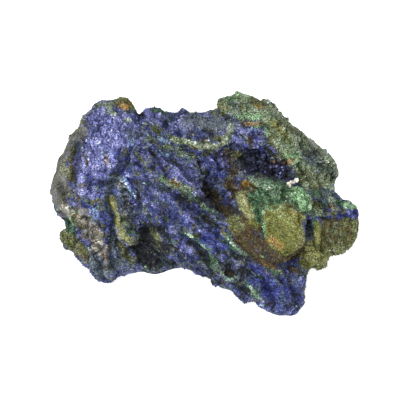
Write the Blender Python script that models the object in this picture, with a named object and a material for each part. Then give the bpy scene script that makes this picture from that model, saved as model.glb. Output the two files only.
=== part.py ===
"""An azurite and malachite specimen: one natural rock, 71 mm long, that lies on its broken base.

Its forms are laid out in millimetres on the display face, the side that it is shown from. That face
leans back, so a place is (right, up, out): along the table, up the leaning face, and out of it.
"""

import math
import random

import bmesh
import bpy
from mathutils import Matrix, Vector, noise

MM = 0.001
FACE_RISE = math.radians(35.0)  # how far the display face's outward normal rises above the table
FACE_HEIGHT = 20.3  # height of the display face's middle above the table
CENTRING = (0, -7.5, 0)  # puts the middle of the base at the origin
ROUGH_VOXEL = 0.6  # the rough masses are fused at this size, the finished rock at the crisp one
CRISP_VOXEL = 0.45
ROCK_TRIANGLES = 8250
BOULDER_LEVEL = 3  # how finely a boulder, and a fold's end, is divided
FOLD_LEVEL = 2

RIGHT = Vector((1, 0, 0))
UP = Vector((0, math.sin(FACE_RISE), math.cos(FACE_RISE)))
OUT = Vector((0, -math.cos(FACE_RISE), math.sin(FACE_RISE)))
FACE = Matrix.Translation((0, 0, FACE_HEIGHT)) @ Matrix((RIGHT, UP, OUT)).transposed().to_4x4()

# A boulder is its centre, its half sizes along right, up and out, and its turn in the face, in degrees.
BOULDERS = {
    # the left lobe, a rounded mass that turns away to the left
    "left_belly": ((-24.8, 4.2, -14), (10.8, 12.6, 11), 0),
    "left_shoulder": ((-26.2, 12.2, -15), (6, 7, 9), -20),
    "left_brow": ((-22.3, 16.4, -13.5), (6.8, 7.8, 8.5), 0),
    "left_knob": ((-18.8, 22.4, -13), (2.5, 2.5, 3), 0),
    "left_step": ((-28.8, 17, -16), (1.9, 1.9, 4), 0),
    "left_neck": ((-15.5, 17.6, -14), (4, 4.6, 6), 0),
    "left_heel": ((-31.4, -7.3, -12), (2.6, 3.2, 4), 20),
    "left_toe": ((-27.8, -10.7, -11), (2.5, 2.2, 4), 0),
    "left_foot": ((-23, -13, -9), (5, 5.1, 6), 0),
    "foot_side": ((-19, -12.4, -11), (4, 3.4, 5), 0),
    "foot_hip": ((-25.4, -6, -11), (6.6, 7, 8), 0),
    # the recess under the ridge, low and dark
    "recess_floor": ((-12.2, -12.2, -14.5), (7.2, 3.6, 5), 0),
    "recess_lip": ((-11.4, -14.6, -14), (3, 2.6, 3.4), 0),
    "recess_right": ((-8.8, -10.6, -15.4), (4, 2.9, 5), 0),
    "recess_back": ((-12, -6, -15), (9, 8, 6), 0),
    "recess_clump": ((-11.7, -7.4, -6.4), (1.9, 2.6, 2.6), -25),
    # the saddle between the two tops
    "saddle": ((-8, 11.6, -14), (14, 8.8, 9), 0),
    "saddle_right": ((2, 12, -15), (8, 7, 8), 0),
    "saddle_bump_a": ((-13, 20, -14.5), (2.6, 2.4, 3), 0),
    "saddle_bump_b": ((-10.2, 20.8, -14.5), (2.6, 2.4, 3), 0),
    "saddle_bump_c": ((-5.8, 19.8, -14.5), (2.4, 2.4, 3), 0),
    "saddle_bump_d": ((-1.4, 18.9, -14.5), (2.6, 2.5, 3), 0),
    "saddle_bump_e": ((-8.4, 17, -11), (2.2, 2, 2.4), 0),
    # the middle of the rock, behind the ridge
    "middle": ((5, 3, -11), (10, 11, 8.4), 0),
    "purple_crystals": ((3.8, 8.1, -6.4), (2.2, 2.6, 2.6), 0),
    "red_ledge": ((7.8, 4, -5.4), (3.4, 2, 3), -15),
    "orange_blob": ((9.4, 5.1, -1.6), (1.5, 1.3, 1.6), 0),
    # the right mass above the hollow
    "crest": ((9.4, 20.9, -16), (4, 5, 6), 0),
    "crest_left": ((5.4, 19, -16), (3.4, 4.4, 5), 0),
    "crest_knob": ((4.9, 22.4, -17), (1.6, 1.6, 3), 0),
    "crest_step": ((2.2, 20.6, -17), (2.2, 2, 3), 0),
    "crest_right": ((13.9, 19.2, -15), (3.2, 4.7, 6), 0),
    "crest_brow": ((9.8, 16.2, -11.5), (6.2, 3.8, 4), -8),
    "blue_lump_a": ((13.1, 13.2, -8.6), (2.2, 1.5, 2.4), 0),
    "blue_lump_b": ((13.8, 11.2, -9.4), (1.2, 1.3, 1.6), 0),
    "blue_lump_c": ((16.6, 8.4, -9.6), (1.7, 1.4, 2.2), 0),
    "tan_lump": ((16.2, 10, -8.4), (1.3, 1.0, 1.5), 0),
    "mint_lump": ((20.2, 10.8, -7), (1.6, 1.8, 2), 20),
    "slope_lump_a": ((18.6, 18, -12.4), (2.6, 2.2, 2.6), -35),
    "slope_lump_b": ((18.4, 14.6, -10.6), (2.6, 2, 2.4), 10),
    "slope_lump_c": ((25.4, 9.6, -10), (3, 3.4, 2.8), -30),
    "slope_lump_d": ((23.6, 4.8, -8), (3.4, 2, 3), -20),
    "slope_end": ((27.6, 7.4, -14), (3, 4, 5), -30),
    # between the block, the slope and the tongue
    "hollow_floor": ((17, 4, -11), (9, 7, 5.4), 0),
    "right_saddle": ((26, 0.6, -9), (5.4, 4.6, 6), 0),
    "shadow_pocket": ((22, -9, -5), (6, 5.6, 6), 0),
    "pocket_floor": ((20, -13.6, -4), (4, 3, 5), 0),
    "tongue_lump": ((24.9, -11.9, -2.5), (3.4, 3.2, 3.6), 0),
    "tongue_blocks": ((25.8, -6.4, -1.2), (1.9, 2.9, 2), 0),
    "tongue_mint": ((25.2, -3.2, -1.6), (1.7, 1.5, 1.8), 0),
}

# A fold is a chain of (right, up, out, radius).
FOLDS = {
    "ridge": (
        (-14.6, 12, -8.6, 7.2), (-11, 6, -4.6, 7.6), (-7.4, 0.6, -3, 7.4), (-1.4, -4.6, -1.6, 7),
        (4.6, -8.8, -1, 6.4), (10, -13.6, -0.2, 6), (15.4, -17.4, 0.4, 6.4),
    ),
    "ridge_skirt": (
        (-11.6, -1.6, -4, 4.6), (-6.6, -8, -2.6, 4.6), (-0.8, -12.2, -1.6, 4),
        (5.2, -15.6, -0.8, 3.8), (10.8, -18.1, 0, 3.7), (15.4, -20, 1, 5.4),
    ),
    "right_foot": ((17.4, -16.6, -0.4, 5.6), (17.3, -20.2, 0.8, 5.3)),
    "right_foot_side": ((20.4, -16, -2, 3.6), (21, -19.4, -0.6, 3)),
    "lobe_fold_a": (
        (-24.4, 18, -7.4, 2), (-25.6, 10, -4.6, 2.6), (-27.2, 1, -4.8, 2.6), (-27.2, -7, -6, 2.2),
        (-26, -12, -6.4, 1.8),
    ),
    "lobe_fold_b": (
        (-19, 17, -7.6, 2.6), (-18.8, 10.4, -5.4, 2.8), (-20.6, 5, -4.4, 2.4), (-22.4, -2, -4.2, 2.2),
        (-22.4, -9, -4.6, 2.2), (-21, -13, -5, 1.8),
    ),
    "lobe_hem": ((-18.6, -3, -5.4, 2.6), (-17.2, -6, -6, 2.4)),
    "saddle_fold_a": ((-15.6, 13, -3.4, 2), (-12, 8.8, -0.4, 2), (-9, 6, 1, 1.8)),
    "saddle_fold_b": ((-13, 15.6, -6.4, 2.2), (-8, 11.8, -4, 2.6), (-3.4, 8, -2.6, 2.4), (-0.6, 4, -2.6, 2)),
}

# A block is the corners of a straight-sided mass.
BLOCKS = {
    "back_slope": (
        (4, 24, -16), (9.2, 25.6, -15), (14, 23.9, -15), (21.6, 18.5, -14), (26.9, 12.2, -13),
        (29.9, 8.3, -12), (29, 4.8, -12), (28.6, 1.5, -11), (13.8, 17.3, -9), (20.7, 9.2, -7),
        (24.2, 3.5, -6.5), (8.1, 20.7, -12), (2.3, 21, -22), (28, 8, -22), (12.6, 20, -27),
        (21.9, 1, -22), (12, 8, -12),
    ),
}

# The crisp masses stand on the rough ones with their edges kept: the ochre block with its malachite
# crown, the tongue, and the crusts that edge the ridge.
CRISP_BOULDERS = {
    # the ochre block's malachite crown
    "crown": ((14, 3.4, 0.4), (5.6, 3.7, 4.6), -6),
    "crown_right": ((21.6, 1, 3), (3.2, 3.4, 4), 0),
    "crown_rim": ((12.9, -1.6, 5), (1.7, 3, 2.6), 10),
    "yellow_finger": ((9, 0, 3.8), (2, 3.6, 2.8), -14),
    "olive_lobe_a": ((6.8, -5, 3), (2.6, 3, 3), -20),
    "olive_lobe_b": ((9.4, -4.4, 3.4), (2.2, 3, 3), 0),
}

CRISP_FOLDS = {
    "ridge_crust_a": (
        (-5, -5.8, 3.4, 1), (-2.2, -7.6, 4.2, 1.2), (0.4, -9.6, 4.2, 1.3), (1.6, -11.6, 4, 1.2),
    ),
    "ridge_crust_b": ((1.4, -12, 3.8, 1.2), (3, -14.8, 3.8, 1.2), (5.6, -16.9, 4.4, 1.1)),
    "ridge_crust_c": ((9.6, -17.8, 5.2, 1), (11.4, -20.4, 5.6, 1), (13, -21.6, 5.4, 0.9)),
    "ridge_line": ((-10, 5.4, 2, 1.2), (-6.8, 5, 2.4, 1.3), (-3.6, 3.4, 2.2, 1.2), (2, -1.6, 2.4, 1)),
    "ridge_seam": ((4.4, -7.2, 4.6, 1), (6.6, -9, 5, 1), (10, -12, 5.4, 1)),
    "yellow_fold": (
        (-21.4, 1.6, -4.4, 1), (-19.8, -2.3, -3.6, 1.2), (-20, -4.6, -3.2, 1.2), (-19.3, -7, -3.2, 1.4),
        (-17.4, -7.6, -3.4, 1.3), (-16.1, -7, -4, 1.1),
    ),
    "pale_vein": ((-19.4, 6, -4.4, 1.4), (-17.6, 3.6, -3.8, 1.4), (-15.9, 1.2, -4, 1.4)),
    "bowl_rim": (
        (-7.6, 15, -7.4, 1.7), (-3.5, 14.2, -7, 1.8), (-1.2, 13.4, -6.8, 1.8), (2.3, 13, -7.2, 1.8),
        (4.2, 14.2, -8, 1.7), (5.5, 15.6, -9, 1.6), (6.2, 18.2, -10.4, 1.6),
    ),
}

CRISP_BLOCKS = {
    "ochre_block": (
        (9.4, 3, 4), (13.1, 0, 7.4), (21.9, -0.7, 6.4), (22.9, -7.8, 6.4), (20.6, -11.2, 7.2),
        (13.6, -7.6, 10.4), (17, -11, 9.8), (16.1, -14.8, 4.6), (4.4, -6.7, 3.2), (6, -2.3, 3),
        (10.4, 5.8, -3),
        (24.6, 3.5, -3), (6, 1, -8), (22, -12, -6), (15, -15, -6),
    ),
    "tongue": (
        (28.8, 1.6, -6), (32.8, 1.6, -6), (35.9, 0.2, -4.8), (35.7, -3.9, -3), (35, -8.6, -4),
        (33.2, -10.9, -4.4), (28.8, -12.2, -3.4), (28.8, -2.1, -1.4), (24.8, -2.3, -1.4),
        (25.3, -12.7, -1.4), (21.9, -1, -12), (34.5, -2.3, -10), (32, -9, -10), (23, -12.7, -10),
    ),
}

# The back and the base are laid out over the table instead: along it, away from the display face, up.
BACK_BOULDERS = {
    "back_left": ((-19, 15, 17), (10.5, 9.5, 13), 0),
    "back_left_low": ((-18, 10, 5), (9.5, 9, 8), 0),
    "back_middle": ((-5, 18.5, 15), (11, 9, 13), 0),
    "back_middle_low": ((-2, 13, 4), (12, 9, 8), 0),
    "back_right": ((11, 19.5, 17), (11, 9.5, 13), 0),
    "back_right_low": ((12, 12, 5), (10.5, 9, 8), 0),
    "back_side": ((22, 10.5, 14), (6.5, 8, 9), 0),
    "back_lump_a": ((-9, 24, 21), (4.5, 4, 4), 0),
    "back_lump_b": ((4, 26, 12), (5, 3.5, 4), 0),
    "back_lump_c": ((17, 24, 9), (4, 4, 5), 0),
    "back_lump_d": ((-22, 20, 9), (4.5, 4.5, 4), 0),
    "back_lump_e": ((-13, 21, 4), (4, 3.5, 4), 0),
    "back_crest": ((9, 25, 26), (6, 4.5, 5), 0),
}

BACK_FOLDS = {
    "back_rib": ((-27, 14, 12, 3), (-20, 21, 15, 3.4), (-11, 24, 13, 3), (-4, 25, 9, 2.6)),
    "back_rib_right": ((22, 17, 18, 3.4), (14, 23, 20, 3.4), (6, 26, 21, 3)),
}

BACK_BLOCKS = {
    "core": (
        (-26, 6, 6), (-22, 18, 8), (-14, 22, 24), (-2, 26, 22), (12, 26, 22), (24, 16, 16),
        (22, 4, 10), (12, 0, 6), (-2, 8, -1), (18, 18, -1), (0, 22, -1), (-18, 16, -1),
        (-22, 2, -1), (-8, 6, 24), (8, 6, 18),
    ),
    "back_ledge": (
        (-2, 28.5, 17), (9, 29, 15), (12, 27, 7), (2, 27, 4), (-4, 25, 8), (-4, 16, 16),
        (10, 16, 14), (8, 16, 4),
    ),
    "back_foot": ((4, 24, -1), (16, 21, -1), (18, 12, -1), (6, 8, -1), (6, 21, 6), (16, 18, 6)),
}

# What is hollowed out of the rough masses.
HOLLOW_BOULDERS = {
    "vug": ((13.8, 9.4, -8.4), (6.6, 4, 8), -14),
    "vug_left": ((6.4, 9.8, -6.4), (4.4, 3, 4.4), 0),
    "vug_right": ((18.6, 6.4, -6.4), (3, 1.7, 3.6), -20),
    "trough": ((2.2, 3.4, -2.8), (3.2, 5.6, 4.4), 24),
    "trough_end": ((4.4, -1.6, 0.6), (2.2, 3, 3), 24),
    "trough_side": ((6, 1.6, -1), (2, 2.4, 3), 0),
    "bowl": ((0.2, 17, -8), (5, 2.6, 2.2), 0),
    "bowl_pit": ((2.2, 15.6, -9), (1.6, 1.1, 2), 0),
    "bowl_pit_left": ((0.4, 16.8, -9.4), (1.1, 0.9, 2.6), 0),
    "saddle_pit": ((-9.2, 19, -10.8), (1.1, 0.9, 2), 0),
    "saddle_pit_right": ((-2.6, 20, -11), (1.1, 0.9, 2.4), 0),
    "top_notch": ((-14.6, 22.2, -12), (1.1, 1.9, 6), 20),
    "recess_dark": ((-14, -10.4, -7.4), (2.6, 3.6, 3.6), 0),
    "heel_notch": ((-32.6, -3.4, -12), (1.4, 1.6, 5), 0),
    "slope_notch": ((30.6, 3.4, -10), (2, 1.5, 5), 0),
}

HOLLOW_FOLDS = {
    "lobe_groove_a": (
        (-22.6, 17, -5, 1.1), (-22.8, 9, -2.4, 1.4), (-24.4, 1, -2, 1.5), (-24.8, -7, -3.2, 1.4),
    ),
    "lobe_groove_b": (
        (-20.4, 13, -4.6, 0.8), (-21.4, 7, -2.6, 0.9), (-18.4, 1, -2.4, 1.4), (-17.8, -3, -3, 1.4),
    ),
    "lobe_groove_c": (
        (-16.6, 10, -1.6, 1), (-15.8, 4.6, -0.8, 1.3), (-14.8, -1, -1.2, 1.7), (-14.6, -6, -3, 1.8),
    ),
    "lobe_groove_d": ((-28.6, 14, -8, 1), (-30, 6, -6.4, 1.2), (-30, -3, -7, 1.2), (-28, -8.6, -6.6, 1)),
    "ridge_streak_a": ((-12.8, 13, -3, 0.9), (-9.4, 9.4, 0.6, 1), (-6, 7.4, 1.6, 0.9)),
    "ridge_streak_b": ((-9.6, 15.8, -5.6, 0.9), (-5, 12.4, -2, 1), (-1, 9.4, -1.6, 1)),
}

# What is hollowed out after the crisp masses are on.
CRISP_HOLLOW_BOULDERS = {
    "block_gap": ((23.3, -5.4, 1.4), (0.9, 2.2, 2.6), 0),
    "block_shadow": ((20.8, -11.8, 1.8), (3, 2.2, 3.2), 30),
    "block_notch": ((9.6, -3.4, 5.8), (0.8, 1, 1.6), 0),
    "foot_hole": ((21, -20.2, 4.4), (0.9, 0.8, 1.8), 0),
    "crust_hole": ((6, -15.4, 5.4), (1.5, 1, 2.4), -10),
    "slope_pit_a": ((18.8, 14.6, -8.6), (0.9, 0.9, 1.4), 0),
    "slope_pit_b": ((23.4, 12.2, -9), (1, 1.4, 1.4), 0),
    "tongue_pit": ((24.2, -3.9, 1), (0.8, 1.4, 1.6), 0),
}

CRISP_HOLLOW_FOLDS = {
    "ridge_groove": (
        (-3.4, -8.6, 4.2, 0.9), (-1.4, -10.2, 4.2, 1.2), (0.4, -12.8, 4, 1.3), (1.8, -15.4, 4, 1),
    ),
    "ridge_groove_end": ((8.6, -19, 5, 0.8), (10.8, -21.6, 5.6, 0.7)),
    "ridge_line_groove": ((-9.4, 3.6, 4.4, 0.5), (-6, 3.4, 5, 0.6), (-2.4, 1.4, 4.8, 0.6)),
    "tongue_crack": ((24.2, -5.8, 1.6, 0.4), (25.4, -9.2, 1.6, 0.4)),
    "block_seam": ((5.6, -8.4, 6.6, 0.5), (9.6, -11.6, 7.2, 0.6), (13.6, -14.6, 7.2, 0.5)),
}

# The hollow's crust of crystals lines the vug's back. It keeps clear of the rock all round.
CRUST_OUTSIDE = (
    (9.4, 4, -18), (8.4, 14.6, -18), (20, 14.6, -18), (19, 3, -18),
    (9, 4, -11.2), (8.6, 14.6, -9.6), (20.4, 14.6, -9.6), (19.4, 3, -11),
)
CRUST_INSIDE = ((14, 9.8, -7), (6.4, 3.7, 6.4), -14)
CRUST_GAP = 0.35
CRYSTALS = 44
CRYSTAL_SIDES = 6
CRYSTAL_RADIUS = (0.6, 1.2)
CRYSTAL_LENGTH = (2.4, 4.4)
CRYSTAL_TAPER = 0.4  # a crystal's radius at its tip, as a share of its foot's
CRYSTAL_LEAN = 0.4  # how far a crystal may lean away from the hollow's middle
CRYSTAL_FIELD = 0.72  # the share of the hollow's back that crystals stand on
SEED = 7
CELL_SPREAD = 7.3  # sets neighbouring cells' slopes apart

# Broken rock shows as facets, one to a cell of the rock: the cells' size and how far a facet tips.
ROUGH_FACETS = ((8.0, 2.8), (4.2, 2.0))
CRISP_FACETS = ((2.4, 0.8),)
CLOUD_SIZE = 7.0
CLOUD_HEIGHT = 1.2

TABLE = 200.0  # the side of the cube that stands for the table, which cuts the base flat

# Each material is its colour, roughness and metallic value.
AZURITE_ROCK = ((0.085, 0.085, 0.17), 0.75, 0)
AZURITE_CRYSTAL = ((0.02, 0.02, 0.13), 0.25, 0)


def reset_scene():
    for obj in list(bpy.data.objects):
        bpy.data.objects.remove(obj)


def new_object(name, mesh):
    bmesh.ops.scale(mesh, vec=(MM, MM, MM), verts=mesh.verts)
    data = bpy.data.meshes.new(name)
    mesh.to_mesh(data)
    mesh.free()
    obj = bpy.data.objects.new(name, data)
    bpy.context.scene.collection.objects.link(obj)
    return obj


def add_boulder(mesh, centre, sizes, turn):
    place = Matrix.Translation(centre) @ Matrix.Rotation(math.radians(turn), 4, "Z")
    bmesh.ops.create_icosphere(
        mesh, subdivisions=BOULDER_LEVEL, radius=1, matrix=place @ Matrix.Diagonal((*sizes, 1))
    )


def add_hull(mesh, points):
    corners = [mesh.verts.new(point) for point in points]
    bmesh.ops.convex_hull(mesh, input=corners)


def sphere_points(centre, radius):
    ball = bmesh.new()
    place = Matrix.Translation(centre)
    bmesh.ops.create_icosphere(ball, subdivisions=FOLD_LEVEL, radius=radius, matrix=place)
    points = [vert.co.copy() for vert in ball.verts]
    ball.free()
    return points


def add_fold(mesh, stations):
    for start, end in zip(stations, stations[1:]):
        add_hull(mesh, sphere_points(start[:3], start[3]) + sphere_points(end[:3], end[3]))


def add_masses(mesh, boulders, folds, blocks):
    for centre, sizes, turn in boulders.values():
        add_boulder(mesh, centre, sizes, turn)
    for stations in folds.values():
        add_fold(mesh, stations)
    for corners in blocks.values():
        add_hull(mesh, corners)


def rough_masses():
    mesh = bmesh.new()
    add_masses(mesh, BOULDERS, FOLDS, BLOCKS)
    bmesh.ops.transform(mesh, matrix=FACE, verts=mesh.verts)
    add_masses(mesh, BACK_BOULDERS, BACK_FOLDS, BACK_BLOCKS)
    return new_object("azurite_rock", mesh)


def face_masses(name, boulders, folds, blocks):
    mesh = bmesh.new()
    add_masses(mesh, boulders, folds, blocks)
    bmesh.ops.transform(mesh, matrix=FACE, verts=mesh.verts)
    return new_object(name, mesh)


def paint(obj, name, look):
    colour, roughness, metallic = look
    material = bpy.data.materials.new(name)
    material.use_nodes = True
    shader = material.node_tree.nodes["Principled BSDF"]
    shader.inputs["Base Color"].default_value = (*colour, 1)
    shader.inputs["Roughness"].default_value = roughness
    shader.inputs["Metallic"].default_value = metallic
    obj.data.materials.clear()
    obj.data.materials.append(material)


def bake(obj):
    """Makes the modifiers' result the object's own mesh."""
    depsgraph = bpy.context.evaluated_depsgraph_get()
    data = bpy.data.meshes.new_from_object(obj.evaluated_get(depsgraph))
    obj.modifiers.clear()
    obj.data = data


def fuse(obj, voxel, smoothing):
    remesh = obj.modifiers.new("fuse", "REMESH")
    remesh.mode = "VOXEL"
    remesh.voxel_size = voxel * MM
    smooth = obj.modifiers.new("soften", "SMOOTH")
    smooth.factor = 0.5
    smooth.iterations = smoothing
    bake(obj)


def join(obj, other):
    mesh = bmesh.new()
    mesh.from_mesh(obj.data)
    mesh.from_mesh(other.data)
    mesh.to_mesh(obj.data)
    mesh.free()
    bpy.data.objects.remove(other)


def carve(obj, cutter):
    cut = obj.modifiers.new("carve", "BOOLEAN")
    cut.operation = "DIFFERENCE"
    cut.solver = "EXACT"
    cut.object = cutter
    bake(obj)
    bpy.data.objects.remove(cutter)


def swell_in_clouds(obj):
    texture = bpy.data.textures.new("clouds", "CLOUDS")
    texture.noise_scale = CLOUD_SIZE * MM
    relief = obj.modifiers.new("clouds", "DISPLACE")
    relief.texture = texture
    relief.texture_coords = "LOCAL"
    relief.strength = CLOUD_HEIGHT * MM
    bake(obj)


def facet_height(place, size, tip):
    """How far a facet stands out here: its cell's own slope, from the cell's middle."""
    _, middles = noise.voronoi(place / size)
    slope = noise.cell_vector(middles[0] * CELL_SPREAD) - Vector((0.5, 0.5, 0.5))
    return tip * slope.dot(place / size - middles[0])


def break_into_facets(obj, size, tip):
    mesh = bmesh.new()
    mesh.from_mesh(obj.data)
    mesh.normal_update()
    heights = [facet_height(vert.co / MM, size, tip) * MM for vert in mesh.verts]
    for vert, height in zip(mesh.verts, heights):
        vert.co += vert.normal * height
    mesh.to_mesh(obj.data)
    mesh.free()


def reduce(obj, triangles):
    decimate = obj.modifiers.new("reduce", "DECIMATE")
    decimate.use_collapse_triangulate = True
    decimate.ratio = triangles / sum(len(face.vertices) - 2 for face in obj.data.polygons)
    bake(obj)


def flatten_base(obj):
    mesh = bmesh.new()
    below = Matrix.Translation((0, 0, -TABLE * MM / 2))
    bmesh.ops.create_cube(mesh, size=TABLE * MM, matrix=below)
    data = bpy.data.meshes.new("table_cutter")
    mesh.to_mesh(data)
    mesh.free()
    cutter = bpy.data.objects.new("table_cutter", data)
    bpy.context.scene.collection.objects.link(cutter)
    carve(obj, cutter)


def rough_rock():
    rock = rough_masses()
    fuse(rock, ROUGH_VOXEL, 2)
    hollows = face_masses("hollow_cutter", HOLLOW_BOULDERS, HOLLOW_FOLDS, {})
    fuse(hollows, ROUGH_VOXEL, 2)
    carve(rock, hollows)
    fuse(rock, ROUGH_VOXEL, 1)
    swell_in_clouds(rock)
    for size, tip in ROUGH_FACETS:
        break_into_facets(rock, size, tip)
    return rock


def keep_largest_island(obj):
    mesh = bmesh.new()
    mesh.from_mesh(obj.data)
    islands = []
    seen = set()
    for start in mesh.verts:
        if start in seen:
            continue
        island = [start]
        seen.add(start)
        for vert in island:
            for edge in vert.link_edges:
                other = edge.other_vert(vert)
                if other not in seen:
                    seen.add(other)
                    island.append(other)
        islands.append(island)
    largest = set(max(islands, key=len))
    bmesh.ops.delete(mesh, geom=[vert for vert in mesh.verts if vert not in largest])
    mesh.to_mesh(obj.data)
    mesh.free()


def crust_crystals():
    """Short pointed prisms that stand on the crust's inside and point at its middle."""
    chance = random.Random(SEED)
    centre, sizes, _ = CRUST_INSIDE
    mesh = bmesh.new()
    for _ in range(CRYSTALS):
        turn, reach = chance.uniform(0, math.tau), math.sqrt(chance.uniform(0, CRYSTAL_FIELD))
        across, along = reach * math.cos(turn), reach * math.sin(turn)
        depth = -math.sqrt(1 - reach * reach)
        foot = Vector((across * sizes[0], along * sizes[1], depth * sizes[2]))
        radius, length = chance.uniform(*CRYSTAL_RADIUS), chance.uniform(*CRYSTAL_LENGTH)
        lean = Vector([chance.uniform(-CRYSTAL_LEAN, CRYSTAL_LEAN) for _ in range(3)])
        turn = (lean - foot.normalized()).to_track_quat("Z", "Y").to_matrix().to_4x4()
        place = Matrix.Translation(Vector(centre) + foot) @ turn
        bmesh.ops.create_cone(
            mesh, cap_ends=True, segments=CRYSTAL_SIDES, radius1=radius,
            radius2=radius * CRYSTAL_TAPER, depth=length, matrix=place,
        )
    bmesh.ops.transform(mesh, matrix=FACE, verts=mesh.verts)
    return new_object("crust_crystals", mesh)


def swollen_copy(obj, growth):
    copy = bpy.data.objects.new("swollen_rock", obj.data.copy())
    bpy.context.scene.collection.objects.link(copy)
    swell = copy.modifiers.new("swell", "DISPLACE")
    swell.strength = growth * MM
    swell.mid_level = 0
    bake(copy)
    return copy


def vug_crust(rock):
    crust = face_masses("vug_crystals", {}, {}, {"outside": CRUST_OUTSIDE})
    inside = face_masses("crust_cutter", {"inside": CRUST_INSIDE}, {}, {})
    carve(crust, inside)
    crystals = crust_crystals()
    union = crust.modifiers.new("grow", "BOOLEAN")
    union.operation = "UNION"
    union.solver = "EXACT"
    union.use_self = True
    union.object = crystals
    bake(crust)
    bpy.data.objects.remove(crystals)
    carve(crust, swollen_copy(rock, CRUST_GAP))
    keep_largest_island(crust)
    return crust


def main():
    reset_scene()
    rock = rough_rock()
    join(rock, face_masses("crisp_masses", CRISP_BOULDERS, CRISP_FOLDS, CRISP_BLOCKS))
    fuse(rock, CRISP_VOXEL, 1)
    hollows = face_masses("hollow_cutter", CRISP_HOLLOW_BOULDERS, CRISP_HOLLOW_FOLDS, {})
    fuse(hollows, CRISP_VOXEL, 1)
    carve(rock, hollows)
    for size, tip in CRISP_FACETS:
        break_into_facets(rock, size, tip)
    fuse(rock, CRISP_VOXEL, 1)
    reduce(rock, ROCK_TRIANGLES)
    flatten_base(rock)
    crust = vug_crust(rock)
    paint(rock, "azurite_rock", AZURITE_ROCK)
    paint(crust, "azurite_crystal", AZURITE_CRYSTAL)
    rock.location = Vector(CENTRING) * MM
    crust.location = rock.location


main()
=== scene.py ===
"""The looks of the azurite and malachite specimen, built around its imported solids.

A place on the display face is given by x and y in picture units: the picture is 400 units wide and high, a
unit is PIXEL millimetres on that face, x runs right and y runs down. Depth is measured out of the face.
"""

import math

import bmesh
import bpy
import numpy as np
from mathutils import Matrix, Vector, noise


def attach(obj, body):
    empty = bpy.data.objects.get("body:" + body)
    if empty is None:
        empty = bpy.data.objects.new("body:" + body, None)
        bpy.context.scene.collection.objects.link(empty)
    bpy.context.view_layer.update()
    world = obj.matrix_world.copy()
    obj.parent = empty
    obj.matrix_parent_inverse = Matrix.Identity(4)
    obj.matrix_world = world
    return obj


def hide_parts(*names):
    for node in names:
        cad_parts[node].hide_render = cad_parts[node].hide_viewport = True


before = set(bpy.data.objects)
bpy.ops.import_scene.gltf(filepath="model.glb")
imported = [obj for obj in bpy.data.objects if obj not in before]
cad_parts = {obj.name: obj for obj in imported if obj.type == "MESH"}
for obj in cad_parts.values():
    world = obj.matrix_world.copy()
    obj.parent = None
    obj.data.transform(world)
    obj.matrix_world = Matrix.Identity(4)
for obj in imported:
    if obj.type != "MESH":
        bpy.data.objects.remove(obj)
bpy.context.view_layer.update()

MM = 0.001
LEAST_AREA = 1e-9  # in square millimetres
PIXEL = 0.23  # millimetres on the display face for one picture unit
PICTURE = 400
PICTURE_MIDDLE = 205.0
FACE_RISE = math.radians(35.0)
FACE_MIDDLE = np.array((0.0, -7.5, 20.3))
RIGHT = np.array((1.0, 0.0, 0.0))
UP = np.array((0.0, math.sin(FACE_RISE), math.cos(FACE_RISE)))
OUT = np.array((0.0, -math.cos(FACE_RISE), math.sin(FACE_RISE)))
SEED = 11
FLECK_SEED = SEED + 90
VUG_SEED = SEED + 50

# ---------------------------------------------------------------- where each mineral lies

# Each mineral's colour on the rock.
MINERALS = {
    "azurite": (0.044, 0.058, 0.188),
    "violet": (0.194, 0.210, 0.465),
    "royal": (0.042, 0.056, 0.240),
    "sky": (0.260, 0.370, 0.570),
    "slate": (0.082, 0.106, 0.138),
    "malachite": (0.047, 0.110, 0.055),
    "mint": (0.245, 0.418, 0.222),
    "olive": (0.115, 0.126, 0.046),
    "sage": (0.205, 0.262, 0.162),
    "ochre": (0.158, 0.164, 0.042),
    "straw": (0.310, 0.305, 0.120),
    "orange": (0.280, 0.160, 0.045),
    "brown": (0.064, 0.042, 0.018),
    "grey": (0.154, 0.149, 0.142),
    # dark: near-black minerals in cracks and veins, also laid as painted shade in recesses, the hollow and
    # under ledges
    "dark": (0.011, 0.013, 0.022),
    "pale": (0.800, 0.750, 0.650),
}
NAMES = list(MINERALS)
COLOURS = np.array([MINERALS[name] for name in NAMES])
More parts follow.
